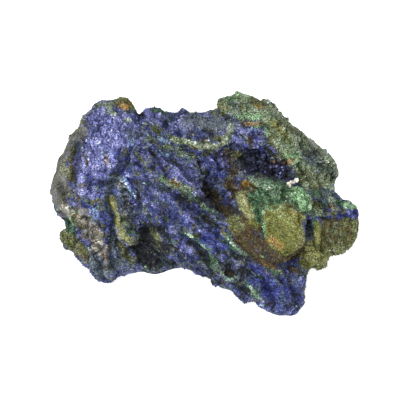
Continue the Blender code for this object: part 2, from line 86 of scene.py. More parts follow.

# Strokes along which a mineral shows, some laid as painted shade or painted light where noted: strength, half
# width, then x and y of each place along the stroke.
STROKES = {
    "violet": dict(
        brow=(1.17, 15, 98, 116, 110, 132, 100, 150, 100, 160), brow_right=(1, 10, 122, 118, 118, 140),
        belly=(0.8, 9, 86, 166, 98, 174, 110, 162), top_run=(0.42, 6, 143, 114, 160, 117, 178, 119, 190, 122),
        mid=(0.58, 10, 148, 158, 175, 170, 200, 188), saddle_side=(0.52, 6, 140, 122, 165, 124, 188, 126),
        crest_foot=(0.65, 5, 234, 128, 250, 133, 262, 128), vug_lumps=(0.8, 4, 254, 146, 268, 152),
        vug_lump_right=(1.3, 3.4, 274, 168, 282, 169), ridge_top=(0.52, 10, 150, 195, 168, 205),
        ridge_low=(0.45, 8, 182, 214, 192, 226), foot=(0.5, 4, 134, 266, 140, 268),
        brow_side=(0.54, 9, 134, 124, 138, 148, 146, 170), belly_light=(0.95, 5, 76, 150, 77, 172, 80, 190),
        top_left=(0.9, 5, 144, 112, 156, 116), low_left=(0.95, 4, 87, 180, 92, 190),
        vug_gap=(0.85, 5, 220, 148, 224, 166), saddle=(0.8, 4, 158, 206, 166, 214),
        vug_top=(1.1, 4, 266, 148, 274, 152), brow_mid=(1.25, 5, 101, 138, 102, 152),
        crest_foot_b=(0.85, 5, 230, 138, 238, 140), ridge_left=(0.8, 4, 182, 244, 190, 250),
    ),
    "royal": dict(
        right_lobe=(0.86, 13, 262, 286, 282, 300, 298, 292), brow_core=(0.9, 4.5, 112, 146, 116, 153),
        ridge=(0.7, 6, 174, 211, 186, 226), ridge_mid=(0.8, 5, 204, 234, 213, 240),
        ridge_seam=(0.8, 4, 214, 243, 223, 247), block_foot=(0.8, 5, 257, 267, 267, 276),
        lobe=(0.8, 7, 273, 282, 286, 292), lobe_all=(0.56, 14, 262, 286, 284, 300, 298, 292),
        groove=(0.7, 4, 123, 174, 132, 186), left_spots=(0.8, 5, 92, 211, 105, 222),
        left_belly=(0.8, 4, 84, 172, 90, 178), vug=(0.6, 6, 212, 160, 222, 178),
        vug_lumps=(0.8, 5, 250, 134, 256, 147, 270, 153), tongue_top=(0.7, 4, 330, 213, 358, 216),
        pocket=(0.95, 2.2, 303, 226, 306, 230), ridge_face=(0.8, 5, 206, 242, 214, 250),
    ),
    "sky": dict(
        brow_core=(0.8, 3, 126, 134, 132, 142), left_spots=(1.2, 3, 93, 211, 96, 216, 92, 224),
        vein=(1.5, 1.3, 123, 177, 128, 187, 135, 197), streak=(0.8, 2, 159, 153, 168, 157),
        lobe_haze=(0.5, 4, 264, 306, 275, 312), flank=(0.8, 1.8, 77, 147, 84, 149),
        flank_band=(0.7, 1.4, 77, 150, 77, 160), tongue_tip=(0.7, 2.6, 349, 204, 356, 207),
        crest_foot=(0.9, 1.6, 251, 129, 262, 129), left_foot=(0.8, 1.8, 88, 234, 92, 240),
        vug_slab=(0.5, 2.2, 241, 165, 240, 178), brow_spot=(1.1, 1.6, 99, 139, 98, 146),
        brow_crescent=(1.1, 1.5, 104, 157, 106, 152, 109, 154), left_low=(0.7, 2.2, 86, 228, 97, 238),
        cluster=(0.75, 1.2, 304, 226, 307, 231), groove_specks=(0.44, 6, 122, 180, 126, 214),
        saddle_top=(0.75, 4, 158, 136, 166, 140),
    ),
    "slate": dict(
        brow_core=(0.86, 4, 120, 126, 130, 136), saddle=(0.75, 11, 196, 118, 210, 126, 224, 120),
        slope=(1.2, 8, 307, 154, 318, 165), groove=(0.8, 7, 121, 178, 125, 202, 128, 224),
        neck=(0.6, 7, 130, 130, 150, 145), recess=(0.6, 8, 150, 264, 172, 264),
        crest=(1, 2.4, 236, 102, 239, 109), crest_left=(0.6, 5, 226, 112, 238, 110),
        slope_middle=(0.6, 6, 292, 136, 304, 152), slope_top=(0.55, 4, 268, 112, 276, 118),
        lobe_foot=(0.85, 10, 96, 262, 108, 270, 122, 260), flank_edge=(0.8, 3, 79, 142, 77, 156, 78, 172),
        valley=(0.75, 5, 114, 176, 108, 188, 106, 200), cluster=(1, 4.5, 303, 224, 308, 236),
        vug_teal=(1.3, 2, 240, 162, 240, 175), shelf=(0.9, 7, 312, 196, 330, 200),
        flank_mottle=(0.6, 8, 68, 136, 58, 168, 60, 200), fold_right=(0.8, 5, 112, 236, 117, 256),
        right_lobe=(0.56, 13, 262, 286, 284, 300, 298, 292), ridge_low=(0.56, 8, 206, 248, 238, 278),
        vug_left=(0.8, 5, 228, 154, 236, 164), recess_right=(0.7, 5, 154, 256, 168, 262),
        saddle_top=(0.75, 4.5, 181, 124, 190, 127), saddle_mid=(0.62, 5, 148, 172, 152, 178),
        crest_b=(0.8, 5, 230, 125, 238, 128), slope_top_b=(0.8, 5, 303, 160, 309, 165),
        vug_brow=(0.85, 4.5, 243, 136, 249, 140),
    ),
    "malachite": dict(
        ridge_line=(1.05, 2.6, 161, 178, 168, 183, 176, 187, 184, 190, 191, 197),
        ridge_line_low=(0.8, 2, 190, 195, 200, 202, 208, 207, 216, 213),
        crown=(1.1, 8, 253, 187, 266, 190, 282, 198), crown_right=(0.85, 3, 286, 196, 294, 204, 304, 210),
        crown_far=(0.8, 3, 296, 190, 306, 192), crest=(0.85, 4, 226, 100, 232, 104, 226, 106),
        crest_teal=(0.9, 2.6, 248, 106, 251, 115), slope_teal=(0.8, 2.6, 268, 110, 273, 117),
        crust_a=(0.72, 3, 184, 232, 196, 238, 203, 246, 210, 248),
        crust_b=(0.72, 2.8, 225, 236, 232, 243, 240, 250, 249, 256),
        crust_lump=(1.1, 4.2, 211, 256, 215, 268),
        crust_streak=(0.9, 2.6, 248, 283, 253, 291, 256, 298, 262, 299),
        block_foot=(0.9, 2.6, 267, 269, 275, 272), lobe_right=(0.6, 4, 296, 285, 303, 291),
        shelf=(0.85, 4, 314, 192, 328, 198, 345, 205), tongue_face=(0.7, 6, 333, 228, 342, 238),
        lump_right=(0.7, 4, 325, 256, 320, 266), green_column=(0.9, 2.6, 313, 214, 316, 228),
        saddle=(0.6, 5, 160, 147, 176, 151, 188, 158), brow=(0.7, 4, 100, 104, 106, 110),
        top_edge=(0.8, 3, 152, 110, 165, 111), slope=(0.5, 4, 300, 178, 314, 184),
        lower_left=(0.9, 4, 66, 222, 72, 232), left_specks=(0.7, 3, 68, 208, 78, 212),
        ledge=(1.15, 5, 252, 200, 258, 211, 258, 221), valley=(0.8, 4, 131, 230, 138, 240),
        slope_patch=(0.8, 4, 288, 146, 296, 150), slope_right=(0.95, 5, 316, 162, 330, 172),
        lobe_left=(0.8, 4, 254, 290, 261, 297),
    ),
    "mint": dict(
        crown_right=(1.4, 6, 286, 192, 298, 196, 306, 206),
        crown_edge=(1.2, 1.5, 263, 211, 265, 222, 263, 232, 267, 238),
        crown_line=(1.3, 1.1, 267, 208, 274, 212, 279, 208, 285, 202), crown_top=(0.7, 3, 268, 206, 284, 205),
        slope=(1.1, 3.6, 288, 156, 297, 154, 295, 162), crest=(0.95, 3.4, 241, 115, 252, 118, 261, 118),
        crest_top=(0.8, 4, 236, 96, 243, 91, 250, 96), left_spots=(0.9, 1.8, 71, 219, 74, 225),
        brow_top=(0.8, 1.8, 101, 104, 102, 111), crest_left=(0.7, 3, 236, 116, 243, 119),
        crescent=(0.68, 1.5, 222, 273, 228, 279, 235, 279, 238, 276),
        crust_a=(0.72, 1.5, 188, 235, 198, 240, 205, 247), crust_b=(0.8, 1.5, 227, 238, 236, 247),
        crust_lump=(0.45, 1.6, 211, 256, 214, 264), crust_streak=(0.95, 1.6, 250, 286, 256, 297, 261, 299),
        tongue=(1.3, 3, 347, 205, 356, 207), ridge_line=(0.7, 1.2, 161, 180, 168, 184),
        crown_specks=(1, 9, 256, 186, 268, 192, 280, 196), rim=(0.6, 1.2, 176, 139, 192, 143, 206, 147),
        slope_patch=(0.75, 3, 262, 124, 268, 132), ledge_left=(0.85, 3.5, 255, 208, 261, 212),
        slope_foot=(0.8, 3.5, 254, 124, 262, 128),
    ),
    "olive": dict(
        slope=(0.72, 13, 278, 122, 290, 140, 306, 165, 326, 172), slope_left=(0.9, 8, 272, 140, 282, 156),
        slope_low=(0.9, 7, 300, 178, 316, 184, 328, 178), vug_left=(0.85, 4, 228, 150, 238, 156),
        crest=(0.7, 11, 226, 106, 244, 98, 262, 106, 272, 118),
        rim=(0.8, 3, 172, 138, 190, 142, 200, 146, 215, 147, 223, 143, 229, 136, 231, 126),
        clump=(1.15, 4, 151, 232, 157, 238, 158, 246), lower_left=(1, 7, 64, 236, 74, 244, 82, 252),
        saddle_patch=(0.8, 3.6, 153, 127, 160, 135), speckle=(0.4, 5, 158, 144, 175, 152, 190, 160),
        streak=(1, 1.6, 136, 152, 142, 160, 150, 172), knob=(1.1, 4.6, 117, 101, 125, 98, 132, 104),
        recess_edge=(0.8, 3.5, 124, 246, 130, 260), foot=(0.7, 4, 150, 266, 160, 270),
        tongue_strip=(0.9, 2, 328, 213, 345, 212), lump=(1.1, 9, 312, 248, 318, 258, 312, 264),
        lobe_left=(0.7, 6, 228, 219, 236, 230, 242, 240), block=(1.1, 4, 272, 224, 286, 232, 294, 226),
        left_low=(0.7, 4, 72, 214, 80, 226), flank=(0.8, 4, 62, 150, 60, 168),
        flank_smudge=(0.9, 3.4, 73, 148, 73, 164, 70, 178), brow_rim=(0.9, 3.4, 76, 128, 85, 113, 96, 104),
        lobe_right=(0.6, 3, 303, 288, 305, 296), block_rim=(0.6, 4, 296, 208, 308, 214),
        shelf=(0.8, 4, 308, 200, 320, 206), ridge_line=(0.9, 3, 165, 180, 178, 187),
        flank_mottle=(0.62, 8, 68, 140, 58, 172, 62, 204), fold_right=(0.7, 4, 116, 246, 124, 256),
        sash_left=(0.9, 4, 217, 137, 227, 139),
    ),
    "sage": dict(
        brow_neck=(0.9, 3.5, 112, 114, 122, 114, 128, 120), brow_top=(1, 3.5, 92, 108, 100, 104, 110, 106),
        rim=(1.1, 3.4, 172, 138, 190, 142, 200, 146, 215, 147, 223, 143, 229, 136, 231, 126),
        slope=(0.75, 9, 268, 124, 284, 138, 300, 158), crest=(0.62, 9, 226, 104, 244, 100, 262, 108),
        speckle=(0.45, 5, 150, 138, 172, 148, 192, 158), brow_rim=(0.8, 2.6, 76, 128, 85, 113, 96, 105),
        tongue_rim=(0.8, 2, 354, 216, 353, 232), vug_rim=(1.4, 3, 268, 149, 273, 154),
        brow_left=(0.6, 4, 88, 114, 95, 124), groove_end=(0.95, 4.5, 124, 218, 128, 226),
        tongue_gap=(0.9, 4.5, 314, 208, 322, 212), block_corner=(1.3, 4.5, 290, 208, 298, 212),
        slope_left=(0.95, 4, 279, 124, 285, 128), shelf=(0.9, 4, 303, 184, 309, 188),
        tongue_top=(0.8, 4, 327, 196, 333, 200), saddle_right=(0.72, 4, 182, 184, 190, 190),
    ),
    "ochre": dict(
        block=(1.2, 12, 274, 216, 286, 224, 280, 240, 293, 238),
        finger=(1.3, 5.2, 241, 197, 245, 207, 249, 218), fold=(1.1, 3, 111, 200, 119, 214, 118, 226),
        fold_end=(1.1, 4.6, 121, 231, 126, 238, 132, 240), lobe_left=(0.7, 4, 231, 221, 237, 231),
        # lump is partly painted light: ochre brightening the lump by the tongue, which faces down into shade.
        column=(1.15, 4.4, 317, 226, 318, 244), lump=(1.1, 8, 311, 262, 320, 252),
        slope=(0.95, 6, 272, 124, 282, 132, 288, 138), lower_left=(0.8, 2.4, 96, 240, 98, 243),
        ledge=(0.9, 3, 250, 214, 256, 226),
    ),
    "straw": dict(
        finger=(1.35, 3.2, 242, 194, 247, 205, 250, 216), fold=(0.7, 1.8, 112, 202, 118, 213, 119, 226),
        fold_end=(0.7, 2.6, 122, 234, 130, 240), lobe_left=(0.7, 1.6, 230, 220, 236, 230),
        block_edge=(0.8, 1.2, 264, 212, 270, 206, 284, 206), block_face=(0.45, 6, 272, 218, 284, 226),
        block_low=(0.9, 3, 284, 252, 292, 248), block_corner=(1.2, 2.2, 298, 214, 303, 217),
        # lump is partly painted light: straw brightening the lump by the tongue, which faces down into shade.
        lump=(1.35, 10, 312, 252, 320, 256), left_streak=(1.1, 1.6, 96, 238, 98, 247),
        left_dot=(1.1, 1.4, 101, 232, 103, 236), column=(1, 2.2, 316, 230, 317, 240),
        clump=(0.5, 1.4, 155, 238, 157, 246), slope_top=(1.3, 3.4, 275, 123, 281, 129),
        crest_left=(0.95, 2.2, 219, 106, 227, 108), slope_blob=(1, 2.2, 284, 160, 291, 160),
    ),
    "orange": dict(
        block_a=(1.1, 2.4, 289, 209, 294, 215), block_b=(0.9, 1.8, 296, 221, 298, 224),
        block_c=(2, 4.2, 269, 238, 275, 242, 280, 245), block_line=(0.9, 1.8, 262, 263, 268, 266, 275, 269),
        ledge_blob=(1.9, 2.8, 245, 183, 249, 185), crown_left=(1, 1.8, 254, 184, 256, 194),
        crown_streak=(0.9, 1.5, 283, 195, 288, 197), slope_blob=(1.6, 2.6, 286, 162, 291, 161),
        slope_tan=(1, 2.4, 273, 162, 280, 161), brow_spot=(1.3, 2.2, 107, 159, 106, 165),
        flank_tan=(1.1, 0.9, 79, 161, 78, 165), tongue_top=(0.5, 1.8, 327, 205, 334, 206),
        tongue_blocks=(0.8, 1.6, 315, 236, 317, 244), red_column=(0.7, 1.4, 326, 226, 325, 240),
        knob=(1.4, 2.8, 121, 104, 128, 105), crest_band=(1.2, 1.6, 247, 124, 261, 124),
        crest_pink=(1.2, 2.2, 257, 104, 262, 107), crest_yellow=(0.8, 1.8, 221, 107, 227, 108),
        rim_spot=(0.9, 1.6, 192, 145, 194, 147), ridge_spot=(1.2, 2, 169, 183, 178, 185),
        left_line_a=(0.9, 1.1, 78, 214, 84, 226, 89, 234), left_line_b=(0.7, 1.4, 83, 236, 86, 240),
        left_line_c=(0.6, 2, 102, 250, 106, 260, 106, 269), finger=(0.7, 2, 246, 208, 248, 214),
        lobe_left=(0.6, 2, 228, 226, 232, 232),
    ),
    "brown": dict(
        block=(1.1, 10, 240, 222, 248, 238, 262, 254, 270, 262), block_low=(0.9, 6, 262, 250, 280, 258),
        vug_left=(1, 8, 226, 154, 238, 168), vug_slab=(1.4, 2.6, 251, 137, 252, 146),
        vug_column=(1, 3, 232, 170, 232, 182), ledge=(1, 5, 228, 184, 240, 190, 252, 190),
        trough=(0.8, 7, 206, 190, 219, 204, 228, 213), tongue_column=(1.1, 3.4, 325, 224, 325, 252),
        tongue_right=(1.1, 5, 347, 222, 350, 240), tongue_face=(1.1, 9, 334, 228, 342, 240),
        tongue_line=(1, 1.6, 324, 220, 344, 221), shadow=(1.1, 7, 287, 255, 302, 248),
        flank_streak=(1, 2, 85, 151, 86, 166), flank_blob=(0.9, 3.4, 80, 184, 79, 197),
        lower_left=(0.7, 6, 88, 236, 96, 246, 104, 258), heel=(0.8, 5, 80, 252, 88, 258),
        left_low=(0.5, 4, 78, 205, 86, 212), flank=(0.95, 4, 73, 150, 74, 166, 71, 178),
        flank_rim=(0.8, 2.6, 57, 184, 57, 192), flank_low=(0.6, 4, 58, 190, 64, 204),
        crest=(0.6, 3, 212, 112, 222, 108), vug_right=(0.7, 4, 262, 165, 276, 160),
        saddle=(0.7, 2.4, 193, 146, 208, 142), slope_low=(0.85, 6, 302, 174, 320, 182),
        crest_right=(0.7, 4, 254, 100, 266, 106), ledge_foot=(1, 3, 254, 224, 258, 230),
        crescent_hole=(1.1, 2.2, 226, 272, 234, 275), flank_mottle=(0.68, 8, 64, 144, 57, 176, 64, 206),
        lobe_foot=(0.7, 5, 100, 252, 106, 268), lobe_top=(0.8, 4, 291, 268, 297, 272),
    ),
    "grey": dict(
        brow_edge=(0.86, 4, 88, 116, 84, 128, 80, 140),
        flank=(0.88, 9, 68, 138, 62, 156, 57, 176, 56, 200, 66, 212), flank_top=(0.9, 5, 78, 128, 70, 140),
        # left_low is partly painted light: a lighter grey on the lower left lobe, which faces down into
        # shade.
        foot=(0.5, 5, 112, 244, 118, 254), left_low=(1.25, 7, 84, 214, 92, 232, 100, 248),
        slope=(0.4, 5, 308, 148, 326, 160), slope_rim=(0.85, 3, 274, 112, 296, 132, 318, 146, 334, 160),
        belly_light=(0.8, 4, 74, 176, 78, 190), vug_side=(1, 4, 278, 159, 286, 164),
        flank_b=(0.9, 4, 62, 182, 68, 190),
    ),
    # Dark strokes in the recess, vug, trough, groove, valley and pocket are dark minerals with painted shade
    # over them; cracks and veins are dark minerals.
    # Painted shade: the dark strokes shadow, clump, clump_shade, top_shade, lobe_shade, block_foot,
    # ridge_foot, ridge_nook and ridge_under darken lit faces, the clump and the rock under the ridge and the
    # block.
    "dark": dict(
        recess=(1.5, 9, 139, 243, 146, 252, 152, 262), recess_right=(0.85, 5, 152, 258, 164, 258, 172, 264),
        vug=(1.3, 10, 252, 160, 266, 172, 280, 177), trough=(1.1, 6, 204, 186, 212, 196, 218, 206),
        clump_shade=(0.9, 4, 143, 230, 150, 226, 162, 230), clump=(1.3, 6.5, 146, 230, 152, 244, 164, 250),
        lobe_veins_a=(0.5, 1.3, 101, 128, 99, 150, 103, 172),
        lobe_veins_b=(0.5, 1.3, 112, 138, 108, 160, 110, 182), bowl_pit_a=(0.6, 2.8, 207, 130, 212, 134),
        bowl_pit_b=(0.6, 2.6, 213, 136, 220, 140), bowl_pit_c=(1, 1.8, 231, 121, 233, 124),
        top_notch=(1, 2.8, 139, 109, 141, 114), top_hollow=(0.9, 2.4, 164, 120, 167, 124),
        top_spot=(0.8, 2, 192, 116, 196, 118), crust_hole_a=(0.9, 2.8, 190, 242, 197, 248),
        crust_hole_b=(0.9, 3.2, 201, 252, 210, 260), lobe_hole=(0.9, 2.4, 242, 288, 248, 291),
        lobe_hole_right=(0.9, 2, 295, 293, 299, 295), crack=(1.2, 1.1, 311, 229, 314, 238, 316, 245),
        groove=(0.9, 3.4, 125, 190, 126, 212, 131, 229), shadow=(0.8, 3, 290, 259, 304, 247),
        streak_a=(0.7, 1.6, 149, 149, 158, 160), streak_b=(0.7, 1.6, 170, 161, 181, 167),
        slope_pit=(0.8, 2.2, 298, 166, 303, 172), flank=(0.8, 2.4, 73, 152, 74, 164, 72, 176),
        valley=(0.6, 2.6, 115, 172, 110, 184, 107, 198), brown_block=(1.1, 5, 260, 250, 272, 260),
        crown=(0.95, 2.2, 258, 192, 266, 196, 274, 190), crown_low=(0.9, 1.8, 262, 202, 272, 203),
        tongue_crack=(1.1, 1.2, 322, 217, 328, 219, 338, 220), left_low=(0.7, 2.4, 66, 214, 72, 214),
        slope_right=(1.15, 7, 316, 154, 330, 174), pocket=(0.85, 3.2, 304, 226, 308, 235),
        low_left=(0.6, 4, 90, 256, 98, 266), groove_teal=(0.5, 5, 246, 110, 254, 116),
        crown_specks=(0.82, 9, 256, 188, 268, 194, 282, 198), top_shade=(0.55, 5, 182, 117, 196, 122),
        block_crack=(0.9, 0.8, 272, 251, 284, 258), ledge_hole=(1, 1.8, 257, 209, 259, 213),
        ridge_foot=(0.74, 4.5, 198, 252, 212, 260, 224, 270), ridge_nook=(0.72, 4, 240, 266, 254, 272),
        block_foot=(1.12, 6, 252, 244, 262, 254, 272, 262),
        lobe_shade=(0.6, 12, 262, 284, 282, 296, 296, 302),
        ridge_under=(0.73, 13, 212, 264, 228, 268, 242, 276), ridge_hollow=(0.86, 5, 230, 254, 248, 258),
        ridge_mid=(0.84, 4.5, 205, 220, 214, 224), saddle_low=(0.72, 5, 138, 184, 138, 200),
        saddle_right=(0.78, 6, 182, 196, 200, 200), recess_low=(0.95, 4, 231, 207, 237, 213),
    ),
    "pale": dict(
        brow_a=(1.2, 1.2, 99, 141, 98, 144), brow_b=(1.1, 1, 105, 155, 107, 157),
        brow_c=(1.2, 1, 106, 160, 107, 163), ridge_dot=(1.2, 1.1, 175, 180, 176, 182),
        bowl_dot=(1, 1, 207, 140, 209, 140), knob=(1.5, 1.4, 122, 103, 124, 104),
        # left_low is partly painted light: pale flecks brightening the lower left lobe, which faces down into
        # shade.
        left_cream=(0.9, 1.2, 101, 232, 103, 233), left_low=(1, 7, 87, 222, 94, 232, 98, 244),
        crest_band=(1.1, 1, 250, 123, 258, 124), vug_dot_a=(1, 0.7, 231, 153, 232, 153),
        vug_dot_b=(1, 0.7, 244, 155, 245, 155), vug_dot_c=(1, 0.7, 254, 158, 255, 158),
        slope_blob=(1, 1.1, 286, 161, 289, 161), crown_specks=(0.5, 8, 256, 184, 268, 190, 282, 196),
        groove_specks=(0.42, 5, 122, 180, 126, 214), vug_side=(0.85, 2.2, 280, 160, 285, 164),
        belly=(0.62, 4, 62, 206, 70, 212),
    ),
}
# Fields that a mineral fills: strength, softness of the edge, then x and y of each corner, clockwise.
FIELDS = {
    "ochre": dict(
        block=(1.3, 1.2, 263, 212, 270, 208, 286, 204, 300, 212, 303, 230, 303, 245, 284, 257, 272, 249, 263,
            238),
    ),
    "brown": dict(
        block=(1.25, 1.5, 246, 214, 258, 220, 263, 238, 273, 250, 284, 257, 276, 269, 262, 266, 244, 252, 232,
            240, 236, 224),
    ),
    "malachite": dict(
        crown=(1.1, 2, 250, 180, 262, 176, 283, 180, 292, 190, 288, 205, 270, 207, 256, 203),
    ),
    "mint": dict(
        crown_right=(1.4, 3, 285, 188, 298, 188, 309, 196, 312, 208, 306, 214, 296, 206, 284, 203),
    ),
    "sage": dict(
        slope=(0.85, 3, 262, 122, 278, 98, 312, 124, 334, 144, 350, 170, 336, 192, 300, 182, 284, 160, 270,
            148),
        crest=(0.72, 3, 214, 112, 214, 92, 240, 78, 262, 84, 284, 104, 262, 122, 236, 118),
    ),
    "olive": dict(
        lump=(1.2, 2, 306, 244, 322, 243, 334, 255, 320, 280, 304, 270),
        tongue=(0.95, 2, 322, 218, 345, 218, 372, 216, 368, 248, 340, 266, 326, 252, 320, 236),
        lobes=(1, 2, 227, 218, 240, 214, 246, 226, 240, 238, 230, 236),
    ),
    # The dark fields in the recess and the hollow are dark minerals with painted shade over them.
    "dark": dict(
        recess=(1.5, 3, 137, 240, 149, 240, 152, 252, 158, 262, 148, 268, 136, 262),
        vug=(1.2, 3, 246, 158, 260, 152, 276, 162, 286, 176, 276, 182, 256, 180, 246, 172),
    ),
    "slate": dict(
        recess=(0.7, 3, 130, 262, 150, 266, 176, 258, 170, 272, 154, 276, 132, 270),
    ),
}
STROKE_FALL = 1.2  # of its half width: where a stroke's strength has fallen to a third
AZURITE_BASE = 0.42  # the strength of plain azurite, which shows wherever nothing outbids it
AZURITE_COVERED = 0.75  # how much of that goes where something else lies
# How the edges of strokes wander: reach in picture units, wave size in mm, and seeds for x and y.
EDGE_WANDER = ((1.5, 8.0, 20, 30), (1.3, 2.6, 21, 31), (0.8, 1.0, 22, 32))
RELIEF_WANDER = ((1.6, 3.0, 48, 49),)
# Patches in every mineral: change in strength, size in mm, and seed.
BID_NOISE = ((0.35, 2.6, 50), (0.45, 1.1, 60), (0.35, 0.55, 70))
BID_SHARPNESS = 5
LEAST_BID = 0.001
# Strengths between which a mineral begins to fray, to cover the azurite, and to keep dust away.
FRAYS, COVERS, DRAWN = (0.05, 0.3), (0.45, 0.8), (0.5, 0.9)
# Patches that lie all over: mineral, size in mm, seed, the noise that they start at, and strength.
DUSTS = (
    ("slate", 2.2, 91, 0.0, 0.55), ("olive", 1.8, 92, 0.18, 0.5), ("brown", 2.4, 93, 0.22, 0.5),
    ("royal", 2.0, 94, 0.3, 0.55), ("violet", 2.6, 95, 0.1, 0.55), ("dark", 1.7, 96, 0.2, 0.55),
    ("malachite", 1.5, 97, 0.28, 0.55), ("grey", 1.4, 98, 0.3, 0.55),
    ("dark", 0.8, 101, 0.2, 0.58), ("olive", 1.0, 102, 0.3, 0.45), ("brown", 1.1, 103, 0.3, 0.45),
    ("slate", 0.9, 104, 0.25, 0.58), ("sky", 0.7, 105, 0.42, 0.6), ("royal", 0.9, 106, 0.2, 0.56),
)
DUST_EDGE = 0.3
DUST_GIVES_WAY = 0.5  # how much less of it lies where something is drawn
# Patches on the far side: size in mm, seed, the noise where they start and where they are full, strength.
FAR_PATCHES = {
    "olive": (9.0, 1, 0.10, 0.45, 0.9),
    "malachite": (6.0, 2, 0.22, 0.5, 0.9),
    "brown": (11.0, 3, 0.12, 0.5, 0.9),
    "grey": (13.0, 4, 0.08, 0.45, 0.95),
    "violet": (8.0, 5, 0.1, 0.5, 0.8),
    "ochre": (7.0, 6, 0.3, 0.55, 0.8),
    "slate": (8.0, 7, 0.2, 0.5, 0.7),
}
FAR_BEND = (1.6, 2.4, 8)  # reach and wave size in mm, and seed
UNDERNEATH = {"brown": 0.6, "grey": 0.55}  # the least of the matrix on the underside
DOWNWARD = (0.2, 0.85)  # how far a surface that counts as underside faces down
FRONT_LAYER = (-14.0, -7.0)  # how far in mm behind the nearest rock the front gives way to the far side
FRONT_FACING = (-0.75, -0.25)
LAYER_CELL = 2  # in picture units

# ---------------------------------------------------------------- the rock's form and finish

SURFACE_VOXEL = 0.31
SURFACE_SMOOTHING = 3
SOFTENING = 0.5  # how far one round of smoothing moves a corner to its neighbours' middle
SURFACE_TRIANGLES = 190000
# How far the surface rises, or sinks, along a stroke: height in mm, half width, then x and y of each place.
RELIEF_STROKES = dict(
    rim=(0.7, 2.4, 172, 138, 190, 142, 200, 146, 215, 147, 223, 143, 229, 136, 231, 126),
    ridge_line=(0.5, 2, 161, 178, 168, 183, 176, 187, 184, 190, 191, 197),
    ridge_line_low=(0.4, 1.8, 191, 196, 200, 202, 208, 207, 216, 213),
    ridge_line_groove=(-0.7, 2, 160, 188, 176, 196, 190, 206, 206, 218),
    crust_a=(0.5, 2.6, 184, 232, 196, 238, 203, 246, 210, 248),
    crust_b=(0.5, 2, 225, 236, 232, 243, 240, 250, 249, 256), crust_lump=(0.8, 3.2, 211, 256, 215, 268),
    crescent=(0.6, 1.6, 222, 273, 228, 279, 235, 279, 238, 276),
    crust_streak=(0.5, 1.6, 248, 283, 253, 291, 256, 298, 262, 299),
    vein=(0.35, 1.5, 123, 177, 128, 187, 135, 197), fold=(0.6, 2.4, 111, 200, 119, 214, 118, 226),
    fold_end=(1, 4, 122, 232, 127, 238, 132, 240),
    fold_left=(-0.7, 2, 106, 198, 113, 214, 112, 228, 116, 240),
    valley=(-0.5, 4.4, 117, 166, 111, 182, 107, 198), flank_smudge=(-0.6, 3.6, 75, 146, 75, 162, 72, 178),
    flank_rim=(-0.4, 2.6, 58, 182, 57, 193), flank_ridge=(0.4, 2.6, 67, 162, 64, 178, 63, 190),
    tongue_crack=(-0.5, 1.4, 321, 217, 328, 219, 338, 220), tongue_column=(-0.5, 1.4, 323, 224, 323, 250),
    tongue_step=(-0.4, 1.2, 331, 222, 330, 244),
    crown_line=(0.35, 1.4, 267, 208, 274, 212, 279, 208, 285, 202),
    lobe_fold_a=(0.3, 3.4, 99, 140, 97, 165, 94, 190, 97, 212),
    lobe_fold_b=(0.25, 3, 114, 140, 110, 165, 106, 186),
    lobe_fold_c=(0.25, 2.8, 84, 150, 82, 175, 84, 200, 78, 225),
    lobe_groove_a=(-0.2, 2.6, 90, 150, 89, 172, 88, 195, 90, 214),
    lobe_groove_b=(-0.2, 2.6, 106, 150, 103, 172, 101, 195, 104, 218),
    lobe_groove_c=(-0.2, 2.4, 76, 160, 74, 185, 77, 206, 70, 224),
    lobe_groove_d=(-0.5, 2.4, 96, 226, 92, 242, 98, 262, 102, 276),
    lobe_groove_e=(-0.7, 2.2, 110, 236, 108, 250, 114, 266), crust_hole_a=(-0.7, 3, 190, 242, 197, 248),
    crust_hole_b=(-0.8, 3.4, 201, 252, 210, 260), crescent_hole=(-0.7, 2, 227, 272, 233, 274),
    lobe_hole=(-1, 2.2, 242, 288, 248, 291), lobe_hole_right=(-0.8, 1.8, 295, 293, 299, 295),
    lobe_cleft=(-0.7, 2, 262, 279, 272, 300, 274, 314),
    lobe_cleft_right=(-0.7, 2, 288, 268, 290, 284, 296, 300), crack=(-0.5, 1, 311, 229, 314, 238, 316, 245),
    block_crack=(-0.6, 1.2, 256, 206, 259, 222, 262, 238, 272, 250, 284, 258),
    streak_a=(-0.8, 1.6, 149, 149, 158, 160, 166, 172), streak_b=(-0.8, 1.6, 170, 161, 181, 167, 192, 178),
    streak_c=(-0.3, 1.8, 138, 158, 146, 178, 150, 200), streak_d=(-0.6, 1.8, 160, 205, 176, 226, 190, 242),
    streak_e=(-0.6, 1.8, 184, 206, 200, 224, 216, 236), bowl_pit_a=(-0.4, 2.4, 207, 130, 212, 134),
    bowl_pit_b=(-0.4, 2.4, 213, 136, 220, 140), top_notch=(-0.8, 2.4, 139, 109, 141, 114),
    top_hollow=(-0.8, 2.2, 164, 120, 167, 124), slope_pit=(-0.8, 2.2, 298, 166, 303, 172),
    slope_pit_top=(-0.7, 1.8, 287, 138, 291, 141), bowl_fill=(0.9, 9, 190, 124, 204, 126, 218, 127),
    crown=(0.9, 3.6, 252, 181, 266, 182, 282, 186), crown_right=(-0.4, 1.4, 290, 188, 296, 198, 296, 208),
    crown_wave_a=(-0.45, 1.3, 286, 198, 298, 195, 308, 200),
    crown_wave_b=(-0.4, 1.2, 288, 207, 299, 203, 309, 207), flank_hollow=(-0.5, 4, 64, 184, 60, 200),
    crown_crease=(-0.4, 1.4, 284, 184, 281, 196, 285, 206), finger=(0.8, 3.4, 241, 197, 245, 207, 249, 218),
    block_edge=(0.25, 2.2, 264, 212, 262, 224, 265, 238, 276, 250), purple_ledge=(0.5, 3, 226, 186, 240, 192),
    brow_mid=(0.4, 5, 101, 136, 102, 150, 101, 162), belly=(0.3, 5, 78, 168, 79, 182),
)
